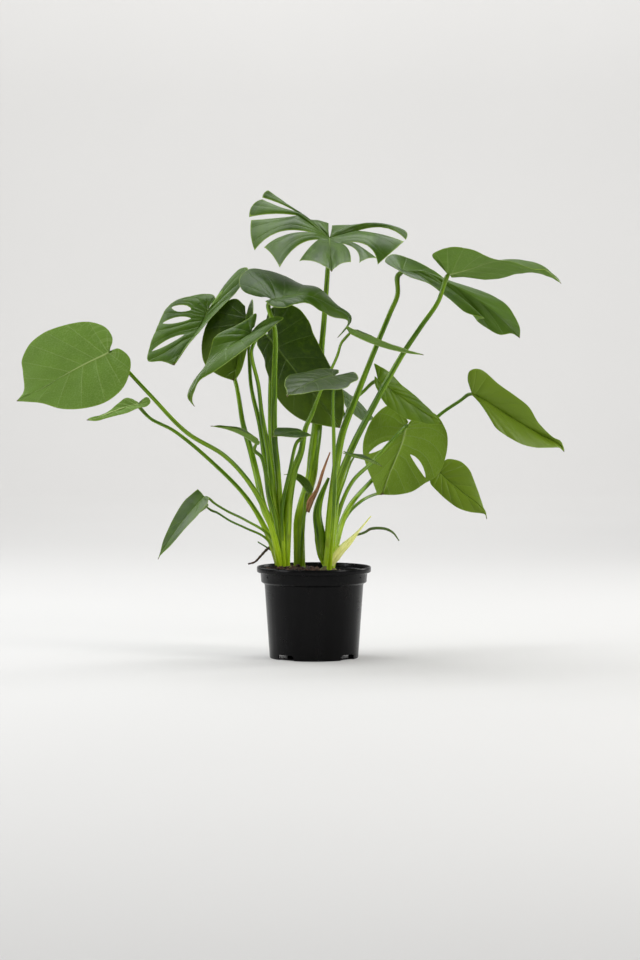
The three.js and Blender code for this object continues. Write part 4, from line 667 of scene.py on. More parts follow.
def crown_finish():
    """Crowns: green bases browned by old leaf scars."""
    f = Finish("Crown bark")
    where = f.where()
    fibre = f.noise(f.stretched(where, 1, 1, 0.25), 420, 5, 0.65)
    patch = f.noise(where, 60)
    colour = f.mix(f.fade(fibre, 0.3, 0.7), (0.075, 0.05, 0.02), (0.19, 0.15, 0.05))
    colour = f.mix(f.fade(patch, 0.42, 0.6) * 0.7, colour, (0.16, 0.26, 0.045))
    normal = f.bump(fibre, 0.0012, 0.9)
    return f.finish(f.surface(Base_Color=colour, Roughness=f.fade(fibre, 0.2, 0.8, 0.5, 0.8), Normal=normal))


def pot_finish():
    """Pot: moulded black plastic, satin, with faint flow lines, scuffs and soil dust under the rim."""
    f = Finish("Black moulded plastic")
    where = f.where()
    flow = f.noise(f.stretched(where, 1, 1, 0.04), 60)
    fine = f.noise(where, 1400, 2)
    scuff = f.noise(where, 45, 5, 0.7)
    height = f.add("ShaderNodeSeparateXYZ", None, {"Vector": where}, output=2)
    dust = f.fade(scuff, 0.5, 0.72) * f.fade(height, 0.06, 0.14, 0.15, 0.6)
    colour = f.mix(f.fade(flow, 0.35, 0.7), (0.0018, 0.0018, 0.0021), (0.0030, 0.0030, 0.0034))
    colour = f.mix(dust * 0.14, colour, (0.040, 0.031, 0.026))
    gloss = f.fade(flow, 0.3, 0.7, 0.20, 0.27) + dust * 0.22
    normal = f.bump(flow * 1.2 + fine * 0.12 + scuff * 0.15, 0.0006, 0.6)
    return f.finish(f.surface(Base_Color=colour, Roughness=gloss, Normal=normal, Specular_IOR_Level=0.12))


def soil_finish(name, dark, light):
    """Damp bark and peat: dark red-brown, fibrous, with a few paler bits."""
    f = Finish(name)
    where = f.where()
    grit = f.noise(where, 420, 6, 0.7)
    clump = f.noise(where, 90, 4, 0.6)
    colour = f.mix(f.fade(grit, 0.32, 0.68), dark, light)
    colour = f.mix(f.fade(clump, 0.35, 0.6), colour, scaled(dark, 0.45))
    normal = f.bump(grit + clump * 1.5, 0.0022, 1.0)
    return f.finish(f.surface(Base_Color=colour, Roughness=f.fade(grit, 0.2, 0.8, 0.62, 0.95), Normal=normal))


def fibre_finish(name, dark, light, gloss, spots=None):
    """Roots and dry sheaths: fibres along the piece, over a mottled ground."""
    f = Finish(name)
    grain = f.attribute("grain", vector=True)
    fibre = f.noise(f.stretched(grain, 1, 1, 0.06), 1100, 4, 0.65)
    patch = f.noise(grain, 95)
    colour = f.mix(f.fade(fibre, 0.32, 0.68), dark, light)
    colour = f.mix(f.fade(patch, 0.5, 0.72) * 0.6, colour, spots or scaled(dark, 0.5))
    normal = f.bump(fibre + patch * 0.6, 0.0006, 0.9)
    dullness = f.fade(fibre, 0.2, 0.8, gloss, gloss + 0.2)
    return f.finish(f.surface(Base_Color=colour, Roughness=dullness, Normal=normal))


def backdrop_finish():
    """Backdrop: matt and pale, with a faint glow that lifts its shadows."""
    f = Finish("Pale backdrop")
    colour = f.mix(f.noise(f.where(), 1.2, 2), (0.475, 0.47, 0.462), (0.495, 0.49, 0.482))
    return f.finish(f.surface(Base_Color=colour, Roughness=0.9, Specular_IOR_Level=0.1,
                              Emission_Color=(1, 0.995, 0.985), Emission_Strength=0.16))


def deselect():
    if bpy.context.object and bpy.context.object.mode != "OBJECT":
        bpy.ops.object.mode_set(mode="OBJECT")
    bpy.ops.object.select_all(action="DESELECT")


def piece_from(name, points, faces, finish, attributes=None, uv=None, sharp=60):
    """A mesh in millimetres made into a finished piece."""
    mesh = bpy.data.meshes.new(name)
    mesh.from_pydata((np.asarray(points, float) * MM).tolist(), [], [list(face) for face in faces])
    for key, values in (attributes or {}).items():
        values = np.asarray(values, np.float32)
        kind = "FLOAT" if values.ndim == 1 else "FLOAT_VECTOR"
        layer = mesh.attributes.new(key, kind, "POINT")
        layer.data.foreach_set("value" if values.ndim == 1 else "vector", values.ravel())
    if uv is not None:
        layer = mesh.uv_layers.new(name="blade")
        corners = np.zeros(len(mesh.loops), np.int32)
        mesh.loops.foreach_get("vertex_index", corners)
        layer.data.foreach_set("uv", np.asarray(uv, np.float32)[corners].ravel())
    mesh.shade_smooth()
    mesh.set_sharp_from_angle(angle=math.radians(sharp))
    mesh.materials.append(finish)
    piece = bpy.data.objects.new(name, mesh)
    bpy.context.scene.collection.objects.link(piece)
    return piece


def dress(piece, slot, *nodes):
    """Fixes a piece to the plant and hides the solids that it stands for."""
    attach(piece, "root")
    if nodes:
        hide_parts(*nodes)


def unit(vectors):
    vectors = np.asarray(vectors, float)
    return vectors / np.maximum(np.linalg.norm(vectors, axis=-1, keepdims=True), 1e-9)


# Leaf blades

def smooth_curve(points, t):
    """A smooth curve through points, at an array of places from 0 to 1."""
    points = np.array(points, float)
    n = len(points) - 1
    s = np.clip(t, 0, 1) * n
    i = np.minimum(s.astype(int), n - 1)
    f = (s - i)[..., None]
    first, last = (i == 0)[..., None], (i == n - 1)[..., None]
    p1, p2 = points[i], points[i + 1]
    p0 = np.where(first, 2 * p1 - p2, points[np.maximum(i - 1, 0)])
    p3 = np.where(last, 2 * p2 - p1, points[np.minimum(i + 2, n)])
    return 0.5 * (2 * p1 + (p2 - p0) * f + (2 * p0 - 5 * p1 + 4 * p2 - p3) * f ** 2
                  + (3 * p1 - p0 - 3 * p2 + p3) * f ** 3)


def prepare(row):
    """Fills in what a leaf row leaves out, and its own axes: along the midrib, up, and to the left."""
    leaf = dict(fold=0, curl=0, arch=0, root=1.75, cuts=([], []), radius=STALK_RADIUS, half=60, back=1,
                bow=(0, 0))
    leaf.update(row)
    for key in ("outline", "half", "back", "fold", "curl"):
        if not isinstance(leaf.get(key), list):
            leaf[key] = [leaf.get(key)] * 2
    if "spine" in leaf:
        if not isinstance(leaf["camber"][0], list):
            leaf["camber"] = [leaf["camber"]] * 2
        leaf["attach"], leaf["tip"] = leaf["spine"][0], leaf["spine"][-1]
        leaf["rims"] = [[*rim, leaf["tip"]] for rim in leaf.get("rims", [])]
    leaf["attach"] = np.array(leaf["attach"], float)
    leaf["tip"] = np.array(leaf["tip"], float)
    way = leaf["tip"] - leaf["attach"]
    leaf["length"] = float(np.linalg.norm(way))
    leaf["along"] = unit(way)
    up = np.array(leaf["up"], float)
    leaf["up"] = unit(up - up @ leaf["along"] * leaf["along"])
    leaf["left"] = np.cross(leaf["up"], leaf["along"])
    return leaf


def flat_point(leaf, side, a, b):
    """A point of the flat half blade: a runs round the outline, b from the midrib out to it."""
    edge = smooth_curve(OUTLINES[leaf["outline"][side]], a)
    edge_x = edge[..., 0] * np.where(edge[..., 0] > 0, leaf["length"], leaf["back"][side])
    edge_y = np.maximum(edge[..., 1], 0) * leaf["half"][side]
    root_x = leaf["length"] * midrib_share(leaf, a)
    mid_x = root_x + 0.3 * (edge_x - root_x)
    mid_y = 0.52 * edge_y
    x = (1 - b) ** 2 * root_x + 2 * b * (1 - b) * mid_x + b * b * edge_x
    y = 2 * b * (1 - b) * mid_y + b * b * edge_y
    return np.stack([x, y], -1)


def across_vein(leaf, side, a, b):
    """The flat direction across the side vein at a place."""
    out, back = np.minimum(b + 0.02, 1), np.maximum(b - 0.02, 0)
    way = flat_point(leaf, side, a, out) - flat_point(leaf, side, a, back)
    size = np.linalg.norm(way, axis=-1, keepdims=True)
    turned = np.stack([way[..., 1], -way[..., 0]], -1) / np.maximum(size, 1e-9)
    return np.where(size > 1e-6, turned, np.array([1.0, 0.0]))


def half_gap(cut, b):
    """Half the width of a slot or an open cut at b."""
    _, inner, outer, width = cut
    t = np.clip((b - inner) / (outer - inner), 0, 1)
    if outer < 1:
        return 0.5 * width * np.sin(math.pi * t) ** 0.7 * ((t > 0) & (t < 1))
    return 0.5 * width * np.minimum(1, 2.2 * t) ** 0.6 * (0.75 + 0.25 * t)


def midrib_share(leaf, a):
    """How far along the midrib the side vein that ends at a leaves it."""
    return np.maximum(0, (a - 0.28) / 0.72) ** leaf["root"]


def spine_point(leaf, a):
    return smooth_curve(leaf["spine"], midrib_share(leaf, a))


def camber_at(leaf, side, a):
    return smooth_curve([[value] for value in leaf["camber"][side]], a)


def drawn_point(leaf, side, a, b):
    """A point of a blade whose midrib and edges are drawn as curves in space."""
    root = spine_point(leaf, a)
    rim = smooth_curve(leaf["rims"][side], a)
    reach = np.linalg.norm(rim - root, axis=-1, keepdims=True)
    sweep = leaf["bow"][side] * reach * np.clip((a - 0.12) / 0.3, 0, 1)[..., None]
    middle = (root + rim) / 2 + camber_at(leaf, side, a) * leaf["up"] - sweep * leaf["along"]
    b = b[..., None]
    return (1 - b) ** 2 * root + 2 * b * (1 - b) * middle + b * b * rim


def lobe_edge(leaf, a, points, inner, b):
    """One edge of a drawn lobe: straight out from the midrib to the split, then curving to the corner."""
    if not points:
        return np.broadcast_to(leaf["tip"], (*b.shape, 3))
    split, bend, corner = np.array(points, float)
    root = spine_point(leaf, np.array(a))
    near = np.minimum(b / inner, 1)[..., None]
    s = np.maximum((b - inner) / (1 - inner), 0)[..., None]
    out = (1 - s) ** 2 * split + 2 * s * (1 - s) * bend + s * s * corner
    return np.where(b[..., None] <= inner, root + (split - root) * near, out)


def finger_point(leaf, side, lobe, a, b):
    """A point of a lobe that is drawn by its two edges and its outer end."""
    drawn = lobe["drawn"]
    ends = [(lobe["start"], drawn["low"], lobe["low"][1] if lobe["low"] else NOTCH_SPLIT),
            (lobe["stop"], drawn.get("high"), lobe["high"][1] if lobe["high"] else NOTCH_SPLIT)]
    t = np.clip((a - lobe["start"]) / (lobe["stop"] - lobe["start"]), 0, 1)[..., None]
    near, far = (lobe_edge(leaf, *end, b) for end in ends)
    root_near, root_far = (lobe_edge(leaf, *end, np.zeros_like(b)) for end in ends)
    corner_near, corner_far = (lobe_edge(leaf, *end, np.ones_like(b)) for end in ends)
    root_bend = spine_point(leaf, a) - (root_near + (root_far - root_near) * t)
    outward = np.array(drawn["margin"], float) - (corner_near + corner_far) / 2
    crown = 4 * t * (1 - t)
    b = b[..., None]
    return (near + (far - near) * t + root_bend * (1 - b) ** 2 + 0.5 * crown * b * b * outward
            + camber_at(leaf, side, a) * crown * np.sin(math.pi * b) * leaf["up"])


def midrib(leaf, x):
    """The arched midrib at x: its points, and the directions to the left and up."""
    u = x / leaf["length"]
    behind = np.minimum(u, 0)
    rise = np.where(u >= 0, 4 * u * (1 - u), 4 * behind / (1 - 4 * behind))
    slope = np.where(u >= 0, 4 * (1 - 2 * u), 4 / (1 - 4 * behind) ** 2)
    lift = leaf["arch"] * leaf["length"] * rise
    point = leaf["attach"] + x[..., None] * leaf["along"] + lift[..., None] * leaf["up"]
    along = unit(leaf["along"] + (leaf["arch"] * slope)[..., None] * leaf["up"])
    left = unit(leaf["left"] - (along @ leaf["left"])[..., None] * along)
    return point, left, np.cross(along, left)


def bent_point(leaf, side, x, y, lift):
    """A flat point of one side, folded and curled about the arched midrib."""
    point, left, up = midrib(leaf, x)
    fold = math.radians(leaf["fold"][side])
    curl = math.radians(leaf["curl"][side]) / leaf["half"][side]
    if abs(curl) > 1e-6:
        out = (np.sin(fold + curl * y) - math.sin(fold)) / curl
        rise = -(np.cos(fold + curl * y) - math.cos(fold)) / curl
    else:
        out, rise = y * math.cos(fold), y * math.sin(fold)
    out = out if side == 0 else -out
    return point + out[..., None] * left + (rise + lift)[..., None] * up


def lobes_of(leaf, side):
    """The lobes of one side: where each starts and ends, and the cuts beside it."""
    cuts = leaf["cuts"][side]
    lobes = []
    for k, low in enumerate([None, *cuts]):
        high = cuts[k] if k < len(cuts) else None
        lobes.append(dict(start=low[0] if low else 0.0, stop=high[0] if high else 1.0, low=low, high=high,
                          drawn=leaf["lobes"][side][k] if "lobes" in leaf else None))
    return lobes


def veins_of(leaf, side):
    """Places of the side veins, evenly spaced within each lobe, and the furrows between the swells."""
    veins, furrows = [], [0.0, 1.0]
    for lobe in lobes_of(leaf, side):
        width = lobe["stop"] - lobe["start"]
        count = max(1, round(width * leaf["veins"]))
        veins += [lobe["start"] + width * (k + 0.5) / count for k in range(count)]
        furrows += [lobe["start"]]
    return sorted(veins), sorted(set(veins + furrows))


def cut_shift(lobe, a, b):
    """How far the cuts beside a lobe push a point of it across the veins."""
    t = (a - lobe["start"]) / (lobe["stop"] - lobe["start"])
    shift = np.zeros_like(a)
    if lobe["low"]:
        shift = shift + (1 - t) * half_gap(lobe["low"], b)
    if lobe["high"]:
        shift = shift - t * half_gap(lobe["high"], b)
    return shift


def spread_of(place, a, b):
    """Millimetres across the side veins for one step along the outline."""
    low, high = np.maximum(a - STEP, 0), np.minimum(a + STEP, 1)
    return np.linalg.norm(place(high, b) - place(low, b), axis=-1) / (high - low)


def drawn_frame(leaf, side, lobe):
    """The surface of a drawn blade as one function of a and b."""
    if lobe["drawn"]:
        return lambda a, b: finger_point(leaf, side, lobe, a, b)
    return lambda a, b: drawn_point(leaf, side, a, b)


def drawn_normal(leaf, side, place, a, b):
    """The direction that the upper face of a drawn blade looks in at each point."""
    step = 3 * STEP
    round_it = place(np.minimum(a + step, 1), b) - place(np.maximum(a - step, 0), b)
    outward = place(a, np.minimum(b + step, 1)) - place(a, np.maximum(b - step, 0))
    normal = np.cross(round_it, outward) * (1 if side == 0 else -1)
    size = np.linalg.norm(normal, axis=-1, keepdims=True)
    return np.where(size > 1e-3, normal / np.maximum(size, 1e-9), leaf["up"])


def drawn_layout(leaf, side, lobe, a, b):
    """One lobe of a drawn blade: size of a step, flat places, distance to the rim, and how it is raised."""
    place = drawn_frame(leaf, side, lobe)
    spread = spread_of(place, a, b)
    moved = a if lobe["drawn"] else a + cut_shift(lobe, a, b) / np.maximum(spread, 1)
    base = place(moved, b)
    across = np.linalg.norm(base - spine_point(leaf, moved), axis=-1)
    flat = np.stack([midrib_share(leaf, moved) * leaf["length"], across], -1)
    edge = np.linalg.norm(place(moved, np.ones_like(b)) - base, axis=-1)
    normal = drawn_normal(leaf, side, place, moved, b)
    return spread, flat, edge, lambda swell, wave: base + (swell + 0.4 * wave)[..., None] * normal


def shaped_layout(leaf, side, lobe, a, b):
    """The same for a blade that is given by its outline."""
    spread = spread_of(lambda p, q: flat_point(leaf, side, p, q), a, b)
    here = flat_point(leaf, side, a, b)
    flat = here + across_vein(leaf, side, a, b) * cut_shift(lobe, a, b)[..., None]
    flat[..., 1] = np.maximum(flat[..., 1], 0)
    edge = np.linalg.norm(flat_point(leaf, side, a, np.ones_like(b)) - here, axis=-1)
    x, y = flat[..., 0], flat[..., 1]
    return spread, flat, edge, lambda swell, wave: bent_point(leaf, side, x, y, swell + wave)


def swell_height(leaf, side, spread, a, b):
    """How far the blade swells between its side veins."""
    furrows = np.array(veins_of(leaf, side)[1])
    k = np.clip(np.searchsorted(furrows, a, side="right") - 1, 0, len(furrows) - 2)
    width = furrows[k + 1] - furrows[k]
    share = np.clip((a - furrows[k]) / width, 0, 1)
    height = np.minimum(0.09 * spread * width, leaf["swell"])
    height = height * np.sin(math.pi * share) ** 0.8 * np.minimum(1, b / 0.16) * (1 - 0.55 * b * b)
    return height * (0.7 + 0.4 * np.sin(2.3 * k + 6 * leaf["phase"]))


def lobe_points(leaf, side, lobe, a, b):
    """The middle surface of one lobe at arrays of places, and what the finish needs to know of each point."""
    layout = drawn_layout if "spine" in leaf else shaped_layout
    spread, flat, edge, raised = layout(leaf, side, lobe, a, b)
    x, y = flat[..., 0], flat[..., 1]
    wave = leaf["wave"] * np.sin(2 * math.pi * (leaf["waves"] * a + leaf["phase"] + 0.37 * side)) * b ** 3
    point = raised(swell_height(leaf, side, spread, a, b), wave)
    for cut, start in ((lobe["low"], lobe["start"]), (lobe["high"], lobe["stop"])):
        if cut:
            beside = (b > cut[1]) & ((b < cut[2]) | (cut[2] >= 1))
            edge = np.where(beside, np.minimum(edge, np.abs(a - start) * spread), edge)
    vein = np.abs(a[..., None] - np.array(veins_of(leaf, side)[0])).min(-1) * spread
    rib_width = 0.7 + 1.1 * np.clip(1 - x / leaf["length"], 0.05, 1) * leaf["rib"]
    return dict(
        point=point, x=x, y=y if side == 0 else -y, out=b, edge=edge,
        vein=vein / (1.1 - 0.6 * b) + np.where(a > 0.985, 4.0, 0.0),
        rib=y / rib_width + np.where(x < -0.5, 9.0, 0.0),
        tip=np.linalg.norm(point - leaf["tip"], axis=-1))


def columns_of(leaf):
    """Places round the outline: at the cuts and side veins, with even steps between them."""
    fixed = {0.0, 1.0}
    for side in (0, 1):
        fixed.update(cut[0] for cut in leaf["cuts"][side])
        fixed.update(veins_of(leaf, side)[0])
    merged = []
    for place in sorted(fixed):
        if not merged or place - merged[-1] > 1e-6:
            merged.append(place)
    step = 1 / leaf["columns"]
    even = [i * step for i in range(1, leaf["columns"])]
    even = [place for place in even if min(abs(place - other) for other in merged) > 0.42 * step]
    return sorted(merged + even)


def rows_of(leaf):
    """Places from the midrib to the margin, closer where a cut starts and ends."""
    rows = SMALL_ROWS if leaf["small"] else BLADE_ROWS
    wanted = set()
    for _, inner, outer, *_ in leaf["cuts"][0] + leaf["cuts"][1]:
        for place in (inner, inner + 0.02, inner + 0.05, outer - 0.02, outer):
            wanted.add(round(min(place, 1.0), 4))
    ends = (0.0, 1.0)
    kept = [place for place in rows if place in ends or all(abs(place - other) > 0.014 for other in wanted)]
    ordered = sorted(set(kept) | wanted)
    return [place for i, place in enumerate(ordered) if i == 0 or place - ordered[i - 1] > 0.006]


def blade_surface(leaf):
    """The middle surface of a blade: what is known of each point, and the faces of its upper side."""
    columns, rows = columns_of(leaf), rows_of(leaf)
    keys, faces, known = {}, [], {}
    near = 1e-7
    for side in (0, 1):
        for k, lobe in enumerate(lobes_of(leaf, side)):
            inside = [i for i, a in enumerate(columns) if lobe["start"] - near <= a <= lobe["stop"] + near]
            a, b = np.meshgrid([columns[i] for i in inside], rows, indexing="ij")
            facts = lobe_points(leaf, side, lobe, a, b)
            ids = np.zeros(a.shape, int)
            for p, i in enumerate(inside):
                cut = lobe["low"] if p == 0 else lobe["high"] if p == len(inside) - 1 else None
                for q, place in enumerate(rows):
                    joined = cut and (place <= cut[1] + near or (cut[2] < 1 and place >= cut[2] - near))
                    key = (side, i, q, k if cut and not joined else -1)
                    if q == 0:
                        key = "attach" if columns[i] <= NOTCH_END else ("midrib", i)
                    if i == len(columns) - 1:
                        key = "tip"
                    if key not in keys:
                        keys[key] = len(keys)
                        for name, values in facts.items():
                            known.setdefault(name, []).append(values[p, q])
                    ids[p, q] = keys[key]
            for p in range(len(inside) - 1):
                for q in range(len(rows) - 1):
                    loop = [ids[p, q], ids[p + 1, q], ids[p + 1, q + 1], ids[p, q + 1]]
                    loop = [v for n, v in enumerate(loop) if v != loop[n - 1]]
                    if len(set(loop)) == len(loop) and len(loop) > 2:
                        faces.append(loop if side == 0 else loop[::-1])
    return {name: np.array(values) for name, values in known.items()}, faces


def thicken(points, faces, above, below):
    """Closes a surface into a thin solid, with its own depth above and below at each point."""
    edges = {(loop[n - 1], v) for loop in faces for n, v in enumerate(loop)}
    triangles = [(loop[0], loop[n], loop[n + 1]) for loop in faces for n in range(1, len(loop) - 1)]
    corners = np.array(triangles)
    p, q, r = (points[corners[:, n]] for n in range(3))
    normals = np.zeros_like(points)
    for n in range(3):
        np.add.at(normals, corners[:, n], np.cross(q - p, r - p))
    normals = unit(normals)
    count = len(points)
    both = np.concatenate([points + normals * above[:, None], points - normals * below[:, None]])
    shell = triangles + [(a + count, c + count, b + count) for a, b, c in triangles]
    shell += [(b, a, a + count, b + count) for a, b in sorted(edges) if (b, a) not in edges]
    return both, shell


def add_blade(leaf, finish, slot):
    known, faces = blade_surface(leaf)
    margin = np.clip((known["out"] - 0.82) / 0.18, 0, 1)
    half = 0.5 * (BLADE_THICKNESS + (EDGE_THICKNESS - BLADE_THICKNESS) * margin)
    u = np.clip(known["x"] / leaf["length"], 0, 1)
    from_rib = np.abs(known["y"])
    ahead = known["x"] > -3
    ridge = ahead * leaf["rib"] * (0.25 + 1.25 * (1 - u)) * hill(from_rib, 0, 1.1 + 1.0 * (1 - u))
    groove = ahead * 0.25 * leaf["rib"] * hill(from_rib, 0, 1.0)
    points, shell = thicken(known["point"], faces, half - np.minimum(groove, half * 0.6), half + ridge)

    facts = {key: np.tile(known[key], 2) for key in ("vein", "rib", "tip", "edge")}
    facts["under"] = np.repeat([0.0, 1.0], len(margin))
    # Painted light and shade of the blade: its tone at the stalk, rising toward the tip and across to its
    # left half
    base, to_tip, across = leaf["tone"]
    facts["tone"] = np.tile(base + to_tip * u + across * known["y"] / max(leaf["half"]), 2)
    shift = leaf["phase"] * 3.7
    uv = np.stack([known["x"] * MM + shift, known["y"] * MM + shift * 0.6], -1)
    name = "blade_" + leaf["name"][-2:]
    piece = piece_from(name, points, shell, finish, facts, np.tile(uv, (2, 1)), sharp=52)
    dress(piece, slot, leaf["name"])


# Stalks and other long pieces

def smooth_path(points, spacing):
    """Evenly spaced points on a smooth curve that bends least between its points."""
    points = [np.array(p, float) for p in points]
    whole = [2 * points[0] - points[1], *points, 2 * points[-1] - points[-2]]
    fine = []
    for p0, p1, p2, p3 in zip(whole, whole[1:], whole[2:], whole[3:]):
        d0, d1, d2 = (max(np.linalg.norm(q - p) ** 0.5, 1e-4) for p, q in ((p0, p1), (p1, p2), (p2, p3)))
        t1 = ((p1 - p0) / d0 - (p2 - p0) / (d0 + d1) + (p2 - p1) / d1) * d1
        t2 = ((p2 - p1) / d1 - (p3 - p1) / (d1 + d2) + (p3 - p2) / d2) * d1
        square, cube = -3 * p1 + 3 * p2 - 2 * t1 - t2, 2 * p1 - 2 * p2 + t1 + t2
        fine += [p1 + t1 * t + square * t * t + cube * t ** 3 for t in np.arange(24) / 24]
    fine = np.array([*fine, points[-1]])
    reach = np.concatenate([[0], np.cumsum(np.linalg.norm(np.diff(fine, axis=0), axis=1))])
    steps = max(4, round(reach[-1] / spacing))
    even = np.linspace(0, reach[-1], steps + 1)
    return np.stack([np.interp(even, reach, fine[:, c]) for c in range(3)], -1), even


def ring_faces(rings, sides, inward=False):
    """The faces between neighbouring rings of points, which look outward or inward."""
    i, j = np.meshgrid(np.arange(rings - 1), np.arange(sides), indexing="ij")
    p, q = i * sides + j, i * sides + (j + 1) % sides
    corners = [p, p + sides, q + sides, q] if inward else [p, q, q + sides, p + sides]
    return np.stack(corners, -1).reshape(-1, 4).tolist()


def loft(path, size, inward, spacing=4, sides=16, shape=None, end=None):
    """A closed tapering rod. size gives its radius at each distance and shape its form round each ring."""
    centres, reach = smooth_path(path, spacing)
    t = reach / reach[-1]
    ways = unit(np.gradient(centres, axis=0))
    inner = np.array(inward, float)
    inner = unit(inner - (ways @ inner)[:, None] * ways)
    other = np.cross(ways, inner)
    turn = 2 * math.pi * np.arange(sides) / sides
    radius = np.broadcast_to(size(t, reach)[:, None], (len(t), sides))
    if shape is not None:
        radius = radius * shape(t[:, None], reach[:, None], turn[None, :])
    rays = np.cos(turn)[None, :, None] * inner[:, None] + np.sin(turn)[None, :, None] * other[:, None]
    if end is not None:
        rays[-1] = unit(rays[-1] - (rays[-1] @ end)[:, None] * end)
    points = centres[:, None] + rays * radius[..., None]
    last = (len(t) - 1) * sides
    faces = ring_faces(len(t), sides)
    faces += [list(range(sides))[::-1], list(range(last, last + sides))]
    grain = np.stack([np.cos(turn)[None] * radius, np.sin(turn)[None] * radius,
                      np.broadcast_to(reach[:, None], radius.shape)], -1).reshape(-1, 3) * MM
    facts = dict(grain=grain + rng.uniform(0, 3, 3), along=np.repeat(t, sides), reach=np.repeat(reach, sides),
                 turn=np.tile(turn, len(t)), left=np.repeat(reach[-1] - reach, sides))
    return points.reshape(-1, 3), faces, facts


def tapered(radius):
    """The size of a rod along it, from its radius at the five stops."""
    return lambda t, reach: np.interp(t, STALK_STOPS, radius)


def hill(x, centre, width):
    """A smooth rise to 1 at the centre."""
    return np.exp(-((x - centre) / width) ** 2)


def oval(turn, flatness):
    return 1 / np.sqrt(np.cos(turn) ** 2 + (np.sin(turn) / flatness) ** 2)


def from_inner_face(turn):
    """How far round a rod a place is from its inner face."""
    return np.abs((turn + math.pi) % (2 * math.pi) - math.pi)


def stalk_mesh(leaf):
    """A leaf stalk: a winged sheath at its foot, a channel on its upper side and a knee under the blade."""
    up = midrib(leaf, np.array([0.001]))[2][0]
    end = leaf["attach"] - up * 0.15
    before = end - up * 9 - leaf["along"] * 3
    path = [(*CROWNS[leaf["crown"]]["at"], STALK_START), *leaf["stalk"], before, end]
    lean = end - np.array(path[0], float)
    lean[2] = 0
    inward = unit(np.array([0, 0, 0.75]) - unit(lean) * 0.65)
    radius = tapered(leaf["radius"])
    whole = float(smooth_path(path, 6)[1][-1])
    sheath = min(0.42 * whole, 190)
    stout = min(1.0, leaf["radius"][1] / 6)

    def size(t, reach):
        knee = 0.16 * hill(whole - reach, 10, 9)
        foot = 0.12 * np.exp(-reach / 30)
        return radius(t, reach) * (1 + knee + foot) * np.where(whole - reach < 3, 0.86, 1)

    def shape(t, reach, turn):
        off = from_inner_face(turn)
        winged = np.clip(1 - reach / sheath, 0, 1) ** 0.7 * stout
        wing = 0.24 * winged * hill(off, 0.4, 0.14)
        channel = (0.12 + 0.2 * winged) * hill(off, 0, 0.28) * np.clip((whole - reach) / 40, 0, 1)
        return oval(turn, 1 - 0.4 * winged) + wing - channel + 0.03 * np.cos(2 * turn)

    points, faces, facts = loft(path, size, inward, shape=shape, end=up)
    winged = np.clip(1 - facts["reach"] / sheath, 0, 1) ** 0.5 * stout
    facts["wing"] = winged * hill(from_inner_face(facts["turn"]), 0.42, 0.2)
    facts["knee"] = hill(facts["left"], 9, 9)
    return points, faces, facts


def plain(mesh):
    """A mesh without wings or a knee."""
    points, _, facts = mesh
    facts["wing"] = facts["knee"] = np.zeros(len(points))
    return mesh


def broad_sheath_mesh():
    """A broad empty sheath, flattened and hollowed along its inner face."""
    def hollowed(t, reach, turn):
        return oval(turn, 0.5) - 0.34 * hill(turn, 1.9, 0.6) * np.sin(math.pi * t)

    return plain(loft(BROAD_SHEATH["path"], tapered(BROAD_SHEATH["radius"]), (1, 0, 0), spacing=3, sides=20,
                      shape=hollowed))


def bare_stem_mesh():
    """A bare stem with two swollen nodes."""
    radius = tapered(BARE_STEM["radius"])

    def ringed(t, reach):
        return radius(t, reach) * (1 + 0.22 * (hill(reach, 78, 2.2) + hill(reach, 36, 2)))

    return plain(loft(BARE_STEM["path"], ringed, (0, 1, 0), spacing=2))


def thin_shoot_mesh():
    return plain(loft(THIN_SHOOT["path"], tapered(THIN_SHOOT["radius"]), (0, 1, 0), spacing=3, sides=10))


def crown_mesh(crown):
    """The short thick foot of a clump, ringed by old leaf scars."""
    x, y = crown["at"]
    path = [(x, y, CROWN_BOTTOM), (x, y, STALK_START), (x + 1, y, crown["top"])]
    big = crown["radius"]

    def size(t, reach):
        return big * np.interp(t, (0, 0.35, 0.8, 1), (0.8, 1, 0.82, 0.3))

    def shape(t, reach, turn):
        lumps = 0.06 * np.sin(3 * turn + big) + 0.04 * np.sin(5 * turn + t * 4)
        return 1 + lumps - 0.05 * np.sin(reach * 1.1) ** 8

    return loft(path, size, (1, 0, 0), spacing=1.5, sides=32, shape=shape)


def joined(meshes):
    """Several meshes as one: points, faces and facts."""
    points, faces, facts = [], [], {}
    for part_points, part_faces, part_facts in meshes:
        base = sum(len(p) for p in points)
        points.append(part_points)
        faces += [[v + base for v in face] for face in part_faces]
        for key, values in part_facts.items():
            facts.setdefault(key, []).append(values)
    return np.concatenate(points), faces, {key: np.concatenate(values) for key, values in facts.items()}


def add_stems(leaves, stalk, bark):
    """The three clumps: the stalks of each with its small growths, and the crown that they grow from."""
    growths = {"left": (bare_stem_mesh, thin_shoot_mesh), "middle": (), "right": (broad_sheath_mesh,)}
    for name, crown in CROWNS.items():
        meshes = [stalk_mesh(leaf) for leaf in leaves if leaf["crown"] == name]
        meshes += [growth() for growth in growths[name]]
        points, faces, facts = joined(meshes)
        kept = {key: facts[key] for key in ("grain", "along", "wing", "knee")}
        dress(piece_from(f"stalks_{name}", points, faces, stalk, kept, sharp=75), "stalk", f"stems_{name}")
        points, faces, facts = crown_mesh(crown)
        dress(piece_from(f"crown_{name}", points, faces, bark, {"grain": facts["grain"]}, sharp=75), "stalk")


def flattened(flatness):
    """The form of a flat sheath, hollowed along one face."""
    def form(t, reach, turn):
        hollow = 0.3 * hill(turn, math.pi / 2, 0.5)
        return np.sqrt(np.cos(turn) ** 2 + (flatness * np.sin(turn)) ** 2) - hollow * flatness

    return form


